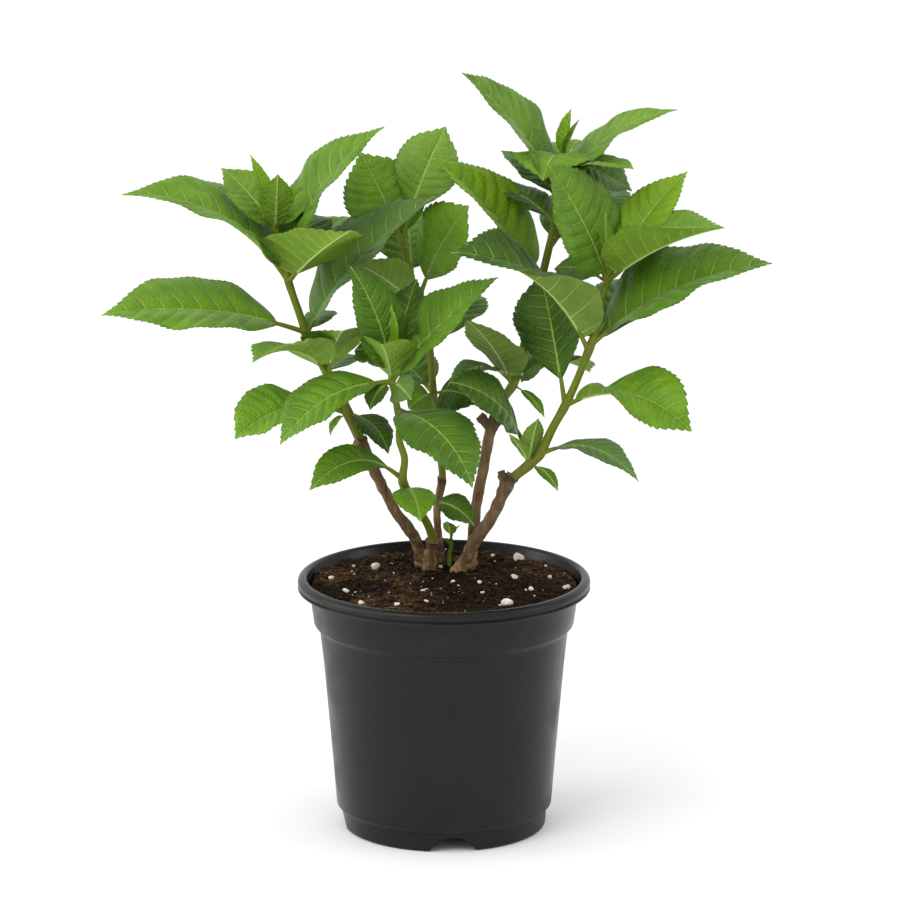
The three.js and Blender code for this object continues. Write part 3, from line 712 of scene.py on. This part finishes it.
def cut_notch(pot, turn):
    """Cuts one drain notch through the pot's foot with a rounded arch bar."""
    select_only()
    inner = FOOT_ROWS[-1][0] - NOTCH_DEPTH
    bpy.ops.mesh.primitive_cube_add(size=1)
    tool = bpy.context.object
    tool.scale = (NOTCH_WIDTH * MM, (TOOL_REACH - inner) * MM, (NOTCH_HEIGHT + TOOL_BELOW) * MM)
    tool.location = (0, -(TOOL_REACH + inner) / 2 * MM, (NOTCH_HEIGHT - TOOL_BELOW) / 2 * MM)
    bpy.ops.object.transform_apply()
    for point in tool.data.vertices:
        point.co.x *= NOTCH_TOP_WIDTH / NOTCH_WIDTH if point.co.z > 0 else NOTCH_FLARE
    bpy.ops.object.mode_set(mode="EDIT")
    bpy.ops.mesh.select_all(action="DESELECT")
    bpy.ops.object.mode_set(mode="OBJECT")
    for edge in tool.data.edges:
        a, b = (tool.data.vertices[i].co for i in edge.vertices)
        edge.select = a.z > 0 and b.z > 0 and abs(a.x - b.x) < 1e-6
    bpy.ops.object.mode_set(mode="EDIT")
    bpy.ops.mesh.bevel(offset=NOTCH_ROUND * MM, segments=6, affect="EDGES")
    bpy.ops.object.mode_set(mode="OBJECT")
    tool.rotation_euler.z = math.radians(turn)
    bpy.ops.object.transform_apply()
    reshape(pot, "BOOLEAN", operation="DIFFERENCE", solver="EXACT", object=tool)
    bpy.data.objects.remove(tool, do_unlink=True)


def mesh_from(name, points, faces, slots):
    """A smooth mesh object from points in millimetres and a material slot for each face."""
    made = bpy.data.meshes.new(name)
    made.from_pydata((np.asarray(points) * MM).tolist(), [], faces)
    made.polygons.foreach_set("use_smooth", [True] * len(made.polygons))
    made.polygons.foreach_set("material_index", slots)
    thing = bpy.data.objects.new(name, made)
    bpy.context.collection.objects.link(thing)
    return thing


def sharpen(thing, degrees):
    thing.data.set_sharp_from_angle(angle=math.radians(degrees))


def unit(v):
    return v / np.maximum(np.linalg.norm(v, axis=-1, keepdims=True), 1e-9)


def above(points):
    """Points given above the soil line, in the frame of the part."""
    return np.asarray(points, dtype=float) + (0, 0, SOIL_LINE)


def point_at(path, at):
    """The point a whole and a share of a stretch along a path."""
    low = min(int(at), len(path) - 2)
    return path[low] + (path[low + 1] - path[low]) * (at - low)


def smooth_path(points, steps):
    """A smooth line through the points, with `steps` stretches between two of them."""
    p = np.asarray(points, dtype=float)
    p = np.vstack([2 * p[0] - p[1], p, 2 * p[-1] - p[-2]])
    rows, places = [], []
    for i in range(1, len(p) - 2):
        a, b, c, d = p[i - 1:i + 3]
        reach = np.linalg.norm(c - b)
        into, out = (
            pull * min(1, reach / max(np.linalg.norm(pull), 1e-6))
            for pull in ((c - a) * 0.5, (d - b) * 0.5)
        )
        last = i == len(p) - 3
        for k in range(steps + last):
            t = k / steps
            t2, t3 = t * t, t * t * t
            rows.append((2 * t3 - 3 * t2 + 1) * b + (t3 - 2 * t2 + t) * into
                        + (3 * t2 - 2 * t3) * c + (t3 - t2) * out)
            places.append(i - 1 + t)
    return np.array(rows), np.array(places)


def tube(line, radii, sides, relief=None):
    """Points and faces of a closed tube; `relief` adds to the radius at each ring point."""
    along = unit(np.gradient(line, axis=0))
    across = np.zeros_like(line)
    side = np.array([1.0, 0.0, 0.0] if abs(along[0, 0]) <= 0.8 else [0.0, 1.0, 0.0])
    for i, direction in enumerate(along):
        side = side - direction * (side @ direction)
        side = side / np.linalg.norm(side)
        across[i] = side
    beyond = np.cross(along, across)
    turn = np.arange(sides) / sides * 2 * math.pi
    ring = (np.cos(turn)[None, :, None] * across[:, None, :]
            + np.sin(turn)[None, :, None] * beyond[:, None, :])
    reach = np.repeat(np.asarray(radii, dtype=float)[:, None], sides, axis=1)
    if relief is not None:
        reach = reach + relief(line[:, None, :] + ring * reach[:, :, None])
    points = (line[:, None, :] + ring * reach[:, :, None]).reshape(-1, 3)
    numbers = np.arange(len(points)).reshape(-1, sides)
    after = np.roll(numbers, -1, axis=1)
    quads = np.stack([numbers[:-1], after[:-1], after[1:], numbers[1:]], -1)
    ends = [numbers[0, ::-1].tolist(), numbers[-1].tolist()]
    return points, quads.reshape(-1, 4).tolist() + ends


class Pile:
    """Gathers points and faces of many small parts for one joined mesh."""

    def __init__(self):
        self.points, self.faces, self.values, self.slots = [], [], {}, []
        self.count = 0

    def add(self, points, faces, end_slot=0, **values):
        """Adds a part, with the material slot of its last face and values for its points."""
        self.points.append(points)
        self.faces.extend([[n + self.count for n in face] for face in faces])
        self.slots.extend([0] * (len(faces) - 1) + [end_slot])
        for name, value in values.items():
            filled = np.broadcast_to(np.asarray(value, dtype=np.float32), (len(points),))
            self.values.setdefault(name, []).append(filled)
        self.count += len(points)

    def build(self, name):
        thing = mesh_from(name, np.vstack(self.points), self.faces, self.slots)
        for label, rows in self.values.items():
            layer = thing.data.attributes.new(label, "FLOAT", "POINT")
            layer.data.foreach_set("value", np.concatenate(rows))
        return thing


# Soil

def mound_height(radius):
    """Height of the soil's even surface at a distance from the pot's axis."""
    return SOIL_LINE + np.interp(radius, [MOUND_RADIUS, MOUND_FOOT, SOIL_EDGE],
                                 [MOUND_RISE, 0, -EDGE_FALL])


def twenty_sides():
    """Corners and faces of a regular solid with twenty sides."""
    gold = (1 + 5 ** 0.5) / 2
    corners = unit(np.array([corner for a in (-1.0, 1.0) for b in (-gold, gold)
                             for corner in ((0, a, b), (a, b, 0), (b, 0, a))]))
    faces = []
    for i, j, k in itertools.combinations(range(12), 3):
        if all(corners[p] @ corners[q] > 0.4 for p, q in ((i, j), (j, k), (i, k))):
            normal = np.cross(corners[j] - corners[i], corners[k] - corners[i])
            faces.append([i, j, k] if normal @ corners[i] > 0 else [k, j, i])
    return corners, faces


CORNERS, FACETS = twenty_sides()


def stone(rng, wide, flat, rough=0.28):
    """A small angular grain: a knobbly twenty-sided lump."""
    reach = 1 + rough * (rng.random((12, 1)) * 2 - 1)
    stretch = 1 + 0.45 * (rng.random(3) - 0.5)
    turn = rng.random() * 2 * math.pi
    points = CORNERS * reach * stretch * (1, 1, flat) * wide / 2
    cos, sin = math.cos(turn), math.sin(turn)
    return points @ np.array([[cos, sin, 0], [-sin, cos, 0], [0, 0, 1]])


def ground_finder(soil):
    """Height of the modelled soil under a point, in millimetres."""
    bpy.context.view_layer.update()
    tree = BVHTree.FromObject(soil, bpy.context.evaluated_depsgraph_get())

    def height(x, y):
        hit = tree.ray_cast(Vector((x * MM, y * MM, 0.2)), Vector((0, 0, -1)))
        return SOIL_LINE if hit[0] is None else hit[0].z / MM
    return height


def scattered(rng, count, reach):
    """Even random places on a disc."""
    radius = reach * np.sqrt(rng.random(count))
    turn = rng.random(count) * 2 * math.pi
    return np.stack([radius * np.cos(turn), radius * np.sin(turn)], -1)


# Canes

def bark_relief(seed, strength, crown):
    """Ridges and knobs of a cane's bark, strongest at the soil and at its crown."""
    def relief(at):
        rows = []
        for x, y, z in at.reshape(-1, 3):
            ridge, fine, knob = (
                noise.noise((x * wide + seed, y * wide, z * tall))
                for wide, tall in ((0.42, 0.07), (1.1, 0.35), (0.26, 0.26))
            )
            gnarl = math.exp(-((z - SOIL_LINE) / 10) ** 2) + math.exp(-((z - crown) / 6) ** 2)
            rows.append(0.55 * ridge + 0.3 * fine + (0.8 + 2.2 * gnarl) * knob)
        return np.array(rows).reshape(at.shape[:2]) * strength
    return relief


# Leaves

class Course:
    """A leaf's own path: its stalk and midrib as one curve, with its up and side."""

    def __init__(self, root, leaf):
        self.root, self.tip = root, above(leaf.tip)
        reach = self.tip - root
        self.length = np.linalg.norm(reach)
        chord = reach / self.length
        self.up = unit(np.array([0, 0, 1.0]) - chord * chord[2])
        self.side = np.cross(chord, self.up)
        self.crest = (root + self.tip) / 2 + self.up * leaf.bow * self.length
        self.start = leaf.stalk / self.length

    def at(self, t):
        """Points and directions on the path."""
        t = np.asarray(t, dtype=float)[..., None]
        point = (1 - t) ** 2 * self.root + 2 * t * (1 - t) * self.crest + t * t * self.tip
        slope = 2 * (1 - t) * (self.crest - self.root) + 2 * t * (self.tip - self.crest)
        return point, unit(slope)


def blade_shape(v, belly):
    """Half-width along a blade as a share of half its full width, drawn out to a point."""
    power = math.log(0.5) / math.log(belly)
    swell = np.clip(np.sin(math.pi * np.power(v, power)), 0, 1)
    swell = np.where(v < belly, swell ** 0.62, swell)
    drawn = np.clip((v - 0.8) / 0.17, 0, 1)
    drawn = drawn * drawn * (3 - 2 * drawn)
    return swell * (1 - 0.16 * v ** 4) * (1 - 0.3 * drawn)


def tooth_rows(blade_length):
    """Rows along the margin: each tooth rises slowly and falls back sharply."""
    teeth = int(min(max(round(blade_length / TOOTH_PITCH), 7), 30))
    rows = [(k + step) / teeth for k in range(teeth) for step in (0, 0.5, 0.88)]
    return np.array(rows + [1.0]), np.array([0, 0.62, 1.0] * teeth + [0.0])


def leaf_blade(course, leaf, look, rng):
    """Upper and lower sheets of one blade on a grid that runs along its veins."""
    # Grid: rows run along the veins, from `rib` on the midrib to `margin` on the edge
    margin, tooth = tooth_rows(course.length * (1 - course.start))
    table = np.linspace(0, 1, 200)
    rib = np.interp(margin, table + SWEEP * table * (1 - table) ** 1.5, table)
    c = np.arange(-COLUMNS, COLUMNS + 1) / COLUMNS
    c = (np.sign(c) * np.abs(c) ** 1.5)[None, :]
    edge, sided = np.abs(c), c > 0
    s = rib[:, None] + (margin - rib)[:, None] * (0.6 * edge + 0.4 * edge ** 2)
    point, along = course.at(course.start + (1 - course.start) * s)
    # Frame of the blade, rolled and twisted about its midrib
    roll = np.radians(leaf.roll + leaf.twist * s)[..., None]
    face = course.up * np.cos(roll) + course.side * np.sin(roll)
    face = unit(face - along * np.sum(face * along, -1, keepdims=True))
    across = np.cross(along, face)
    # Width, fold, arched halves and a wavy edge
    small = min(1.0, leaf.wide / FULL_WIDTH)
    half = np.maximum(blade_shape(s, leaf.belly) * leaf.wide / 2, 0.12)
    half = np.where(s < 0.02, np.maximum(half, 0.5 * small + 0.3), half)
    fold = math.radians(leaf.fold)
    seed = rng.random() * 6.28
    wave = np.sin(2 * math.pi * 1.9 * s + seed + 1.7 * sided)
    ripple = np.sin(2 * math.pi * 4.3 * s + 2 * seed + 0.9 * sided)
    lift = (edge * half * math.sin(fold) - 0.12 * half * edge ** 2
            + edge ** 2 * half * (0.05 * wave + 0.02 * ripple))
    # Swelling between the side veins, which alternate a little, then the teeth
    phase = (rib[:, None] - 0.03) * VEINS + 0.18 * sided
    swell = np.abs(np.sin(math.pi * phase)) ** 0.8 * edge ** 0.4 * (1 - edge ** 5)
    quilt = look.quilt / MM * small * swell * np.minimum(1, 4 * s) * np.minimum(1, 5 * (1 - s))
    window = np.clip((margin - 0.1) / 0.12, 0, 1) * np.clip((1 - margin) / 0.06, 0, 1)
    bite = look.tooth / MM * small * tooth * window
    out = np.where(edge == 1, bite[:, None], 0) * np.sign(c)
    x = c * half * math.cos(fold) + out
    # Upper and lower sheets, thin at the edge, with the midrib sunk and raised below
    groove = np.exp(-((c * half / 0.8) ** 2)) * (1 - 0.7 * s) * small
    sheet = point + across * x[..., None] + along * (np.abs(out) * 0.55)[..., None]
    thick = look.thickness / MM / 2 * (0.45 + 0.55 * small) * (1 - 0.85 * edge ** 3)
    top = sheet + face * (lift + quilt + thick - 0.3 * groove)[..., None]
    low = sheet + face * (lift + 0.7 * quilt - thick - 0.75 * groove)[..., None]
    blade = np.stack([c * half / 100 + 0.5, phase / 16], -1)
    cell = np.stack([0.5 + 0.46 * x / (leaf.wide / 2 + 2), 0.02 + 0.96 * s], -1)
    return top, low, np.broadcast_to(edge, s.shape), blade, cell


def joined_leaves(name, blades):
    """One mesh of many blades, each a closed shell that meets at its margin."""
    points, corners, slots, marks, blade_map, bake_map = [], [], [], [], [], []
    count = 0
    cells = 2 * len(blades)
    across = math.ceil(math.sqrt(cells * 1.7))
    down = math.ceil(cells / across)
    for order, (top, low, edge, blade, cell, tone, cool) in enumerate(blades):
        rows, columns = edge.shape
        upper = np.arange(rows * columns).reshape(rows, columns)
        lower = upper + upper.size
        rim = np.ones((rows, columns), dtype=bool)
        rim[1:-1, 1:-1] = False
        top = np.where(rim[..., None], (top + low) / 2, top)
        lower = np.where(rim, upper, lower).ravel()
        quads = np.stack([upper[:-1, :-1], upper[:-1, 1:], upper[1:, 1:], upper[1:, :-1]],
                         -1).reshape(-1, 4)
        turned_over = quads[:, ::-1]
        faces = np.vstack([quads, lower[turned_over]])
        used = np.unique(faces)
        place = np.zeros(2 * upper.size, dtype=int)
        place[used] = np.arange(len(used))
        points.append(np.vstack([top.reshape(-1, 3), low.reshape(-1, 3)])[used])
        corners.append(place[faces] + count)
        count += len(used)
        slots.append(np.repeat([0, 1], len(quads)))
        edge = np.tile(edge.ravel(), 2)[used]
        marks.append(np.stack([np.full(len(used), tone), np.full(len(used), cool), edge], -1))
        for side, corner_order in enumerate((quads, turned_over)):
            spot = 2 * order + side
            shift = np.array([spot % across, spot // across])
            bake_map.append((cell.reshape(-1, 2)[corner_order] + shift) / (across, down))
            blade_map.append(blade.reshape(-1, 2)[corner_order])
    thing = mesh_from(name, np.vstack(points), np.vstack(corners).tolist(), np.concatenate(slots))
    for label, rows in (("blade", blade_map), ("OFBake", bake_map)):
        layer = thing.data.uv_layers.new(name=label)
        layer.data.foreach_set("uv", np.concatenate(rows).astype(np.float32).ravel())
    layer = thing.data.attributes.new("leaf_look", "FLOAT_VECTOR", "POINT")
    layer.data.foreach_set("vector", np.vstack(marks).astype(np.float32).ravel())
    sharpen(thing, 65)
    return thing


# Operators

class HYDRANGEA_OT_pot(bpy.types.Operator):
    """Add the nursery pot: drawn up its profile, with four notches cut in its foot"""
    bl_idname = "hydrangea.pot"
    bl_label = "Add pot"

    def execute(self, context):
        look = context.scene.hydrangea_pot
        rows = FOOT_ROWS + STEP_ROWS + BODY_ROWS + SEAM_ROWS + COLLAR_ROWS + LIP_ROWS + INSIDE_ROWS
        pot = turned("pot_shell", rows, look.sides)
        for quarter in (0, 90, 180, 270):
            cut_notch(pot, NOTCH_TURN + quarter)
        reshape(pot, "BEVEL", width=EDGE_ROUND * MM, segments=3, limit_method="ANGLE",
                angle_limit=math.radians(50))
        bpy.ops.object.shade_smooth_by_angle(angle=math.radians(38))
        dress(pot, ["pot"], "pot", pot_plastic(look))
        return {"FINISHED"}


class HYDRANGEA_OT_soil(bpy.types.Operator):
    """Add the potting mix: a lumpy bed, loose crumbs, fibres and perlite"""
    bl_idname = "hydrangea.soil"
    bl_label = "Add potting mix"

    def execute(self, context):
        look = context.scene.hydrangea_soil
        rng = np.random.default_rng(11)
        rings = [(r, mound_height(r)) for r in np.arange(74.4, 1, -1.2)]
        soil = turned("soil_bed", SOIL_SKIRT + rings, 200)
        top = soil.vertex_groups.new(name="surface")
        for point in soil.data.vertices:
            if point.co.z > SOIL_SHOWS * MM:
                inside = min(1, (SOIL_EDGE - point.co.xy.length / MM) / 6 + 0.25)
                top.add([point.index], inside, "REPLACE")
        for label, scale, height in (("lumps", 0.011, 1.0), ("crumbs", 0.004, 0.8),
                                     ("grit", 0.0016, 0.45)):
            pattern = bpy.data.textures.new(label, "CLOUDS")
            pattern.noise_scale, pattern.noise_depth = scale, 2
            reshape(soil, "DISPLACE", texture=pattern, strength=look.lump * height,
                    vertex_group="surface", direction="Z")
        bpy.ops.object.shade_smooth_by_angle(angle=math.radians(60))
        height_at = ground_finder(soil)

        # Loose crumbs, most of them small
        pile = Pile()
        for x, y in scattered(rng, look.crumbs, 74):
            wide = 0.8 + 3.2 * rng.random() ** 3
            points = stone(rng, wide, 0.75)
            pile.add(points + (x, y, height_at(x, y) + wide * 0.16), FACETS)
        crumbs = pile.build("peat_crumbs")

        # Bent fibres that follow the ground loosely
        pile = Pile()
        for x, y in scattered(rng, look.fibres, 68):
            turn, long = rng.random() * 2 * math.pi, 4 + 13 * rng.random() ** 2
            bend = (rng.random() - 0.5) * 1.6
            line = []
            for u in np.arange(7) / 6 - 0.5:
                px = x + math.cos(turn + bend * u) * u * long
                py = y + math.sin(turn + bend * u) * u * long
                line.append((px, py, height_at(px, py) if math.hypot(px, py) < 74 else SOIL_LINE))
            line = np.array(line)
            line[:, 2] = line[:, 2].mean() + 0.35 * (line[:, 2] - line[:, 2].mean()) + 0.8
            girth = 0.14 + 0.22 * rng.random() ** 2
            pile.add(*tube(line, girth * np.array([0.5, 0.9, 1, 1, 1, 0.8, 0.4]), 4))
        fibres = pile.build("peat_fibres")

        # Perlite: the larger bits, specks all over and a patch of fine ones in front
        pile = Pile()
        spots = list(PERLITE)
        for x, y in scattered(rng, look.specks, 72):
            spots.append((x, y, 0.7 + 1.3 * rng.random() ** 2))
        for x, y in scattered(rng, 34, 24):
            spots.append((x + 4, y - 18, 0.5 + 0.8 * rng.random()))
        for x, y, wide in spots:
            points = stone(rng, 1.15 * wide, 0.8, 0.55)
            pile.add(points + (x, y, height_at(x, y) + wide * 0.24 + 0.35), FACETS)
        perlite = pile.build("perlite_grains")
        reshape(perlite, "SUBSURF", levels=1)
        bpy.ops.object.shade_smooth_by_angle(angle=math.radians(50))

        moist, pale = (tuple(min(1, v * by) for v in rgb)
                       for rgb, by in ((look.peat, 0.8), (look.dry, 2.2)))
        for thing, material in (
            (soil, peat("peat", moist, look.dry, 130.0, 0.4)),
            (crumbs, peat("peat crumbs", look.peat, look.dry, 220.0, 0.75)),
            (fibres, peat("peat fibres", look.dry, pale, 400.0, 0.6)),
            (perlite, perlite_grain(look)),
        ):
            dress(thing, ["potting_soil"], "potting_soil", material)
        return {"FINISHED"}


class HYDRANGEA_OT_canes(bpy.types.Operator):
    """Add the woody canes, with ridged bark, old nodes and cut stubs"""
    bl_idname = "hydrangea.canes"
    bl_label = "Add canes"

    def execute(self, context):
        look = context.scene.hydrangea_cane
        bark, wood = cane_bark(look), cut_wood(look)
        for order, (name, (path, (foot, top), spread, stubs)) in enumerate(CANES.items()):
            path = above(path)
            line, place = smooth_path(path, 12)
            share_up = place / place[-1]
            # Thicker at the soil, at old nodes and at the crown; ridges grow with the girth
            low_part = np.clip(1 - np.maximum(line[:, 2] - SOIL_LINE - 1, 0) / 12, 0, 1)
            flare = 1 + (spread - 1) * low_part ** 2
            rings = 0.1 * np.sin(math.pi * (share_up * 2.5 + 0.35)) ** 8
            end = 0.12 * np.clip((share_up - 0.93) / 0.07, 0, 1)
            radii = (foot + (top - foot) * share_up) * flare * (1 + rings + end)
            crown = line[-1, 2]
            relief = bark_relief(order * 31.0, look.ridge / MM * foot / 4.4 * 1.5, crown)
            scar = (np.clip(rings / 0.1 - 0.6, 0, 1) * 0.8 + 0.25 * low_part
                    + 0.85 * np.exp(-((line[:, 2] - crown) / 5) ** 2))
            pile = Pile()
            pile.add(*tube(line, radii, look.sides, relief), 1,
                     scar=np.clip(np.repeat(scar, look.sides), 0, 1))
            for at, reach, girth in stubs:
                start, reach = point_at(path, at), np.array(reach)
                stub, place = smooth_path([start, start + reach * 0.5, start + reach], 6)
                thin = girth * (1.12 - 0.22 * place / 2) * (1 + 0.16 * np.sin(place * 3.1) ** 6)
                pile.add(*tube(stub, thin, 18, relief), 1, scar=0.55)
            cane = pile.build("bark_" + name)
            sharpen(cane, 60)
            dress(cane, ["cane_" + name], "cane", bark, wood)
        return {"FINISHED"}


class HYDRANGEA_OT_shoots(bpy.types.Operator):
    """Add the green shoots with their stalks, and the leaves of each shoot"""
    bl_idname = "hydrangea.shoots"
    bl_label = "Add shoots and leaves"

    def execute(self, context):
        look = context.scene.hydrangea_leaf
        skin, top, underside = green_stem(look), leaf_top(look), leaf_underside(look)
        for order, (name, (path, (foot, tip), leaves)) in enumerate(SHOOTS.items()):
            rng = np.random.default_rng(100 + order)
            path = above(path)
            line, place = smooth_path(path, 8)
            share_up = place / place[-1]
            radii = foot + (tip - foot) * share_up
            age = np.clip(1 - share_up * 2.4, 0, 1) * 0.7
            # Swollen and older at each node
            for at in sorted({leaf.at for leaf in leaves}):
                near = np.exp(-((place - at - 1) * 2.6) ** 2)
                radii = radii + 0.16 * radii * near
                age = np.maximum(age, 0.4 * near)
            radii[-1] *= 0.5
            pile, blades = Pile(), []
            pile.add(*tube(line, radii, 14), age=np.repeat(age, 14))
            for leaf in leaves:
                course = Course(point_at(path, leaf.at + 1), leaf)
                # The stalk, thinner on a small leaf, runs a little way under the blade
                small = 0.4 if leaf.wide < 12 else 0.65 if course.length <= 45 else 1.0
                end = course.start + (1 - course.start) * 0.07
                steps = np.linspace(0, end, 9)
                girth = small * np.interp(steps / end, [0, 0.15, 0.8, 1], [2.0, 1.5, 1.15, 0.5])
                pile.add(*tube(course.at(steps)[0], girth, 10), age=0.0)
                tone, cool = LOOKS[leaf.look]
                tone += (rng.random() - 0.5) * 0.06
                blades.append((*leaf_blade(course, leaf, look, rng), tone, cool))
            node = name if name == "sprout" else "shoot_" + name
            stems = pile.build("stem_" + name)
            sharpen(stems, 60)
            dress(stems, [node], "foliage", skin)
            dress(joined_leaves("leaves_" + name, blades), [node], "foliage", top, underside)
        return {"FINISHED"}


class HYDRANGEA_OT_stage(bpy.types.Operator):
    """Add the pale floor, the soft lights and the camera"""
    bl_idname = "hydrangea.stage"
    bl_label = "Add stage"

    def aimed(self, name, data, location, target):
        """A lamp or camera that looks at a point."""
        holder = bpy.data.objects.new(name, data)
        holder.location = location
        holder.rotation_euler = (target - holder.location).to_track_quat("-Z", "Y").to_euler()
        bpy.context.collection.objects.link(holder)
        return holder

    def execute(self, context):
        look, scene = context.scene.hydrangea_stage, context.scene
        select_only()
        bpy.ops.mesh.primitive_plane_add(size=30)
        floor = rename(context.object, "floor")
        web = Surface("pale floor")
        shade = web.mix(web.times(web.mottle(3.0, 0.3, 0.7), 0.04), look.floor, (0.7, 0.7, 0.7))
        dull = web.finish(shade, Roughness=0.9, Specular_IOR_Level=0.1)
        floor.data.materials.append(dull)

        scene.world = bpy.data.worlds.new("studio")
        scene.world.use_nodes = True
        back = scene.world.node_tree.nodes["Background"].inputs
        back["Color"].default_value = (1, 1, 1, 1)
        back["Strength"].default_value = look.sky
        for name, place, wide, watts in (
            ("key light", (-1.5, -1.9, 2.3), 1.6, look.key),
            ("left side light", (-2.6, -0.2, 0.9), 1.4, look.rim),
            ("right side light", (2.7, -0.6, 1.1), 1.0, look.rim * 0.42),
        ):
            lamp = bpy.data.lights.new(name, "AREA")
            lamp.shape, lamp.size, lamp.energy = "SQUARE", wide, watts
            self.aimed(name, lamp, place, Vector((0, 0, 0.2)))

        camera = bpy.data.cameras.new("camera")
        camera.lens, camera.sensor_width, camera.clip_end = look.lens, 36, 60
        target = Vector((0.0034, 0, 0.219))
        back_to = Vector((0, -math.cos(look.tilt), math.sin(look.tilt)))
        scene.camera = self.aimed("camera", camera, target + back_to * look.distance, target)
        scene.view_settings.view_transform = "Standard"
        return {"FINISHED"}


class HYDRANGEA_PT_panel(bpy.types.Panel):
    """Buttons that add the plant's pieces, with their sizes and colours"""
    bl_label = "Hydrangea"
    bl_idname = "HYDRANGEA_PT_panel"
    bl_space_type = "VIEW_3D"
    bl_region_type = "UI"
    bl_category = "Hydrangea"

    def draw(self, context):
        for operator, holder, look in STEPS:
            box = self.layout.box()
            box.operator(operator.bl_idname)
            for key in look.__annotations__:
                box.prop(getattr(context.scene, holder), key)


STEPS = (
    (HYDRANGEA_OT_pot, "hydrangea_pot", PotLook),
    (HYDRANGEA_OT_soil, "hydrangea_soil", SoilLook),
    (HYDRANGEA_OT_canes, "hydrangea_cane", CaneLook),
    (HYDRANGEA_OT_shoots, "hydrangea_leaf", LeafLook),
    (HYDRANGEA_OT_stage, "hydrangea_stage", StageLook),
)


def register():
    for operator, holder, look in STEPS:
        bpy.utils.register_class(look)
        bpy.utils.register_class(operator)
        setattr(bpy.types.Scene, holder, bpy.props.PointerProperty(type=look))
    bpy.utils.register_class(HYDRANGEA_PT_panel)


def unregister():
    bpy.utils.unregister_class(HYDRANGEA_PT_panel)
    for operator, holder, look in reversed(STEPS):
        delattr(bpy.types.Scene, holder)
        bpy.utils.unregister_class(operator)
        bpy.utils.unregister_class(look)


def main():
    register()
    bpy.ops.hydrangea.pot()
    bpy.ops.hydrangea.soil()
    bpy.ops.hydrangea.canes()
    bpy.ops.hydrangea.shoots()
    bpy.ops.hydrangea.stage()


if __name__ == "__main__":
    main()
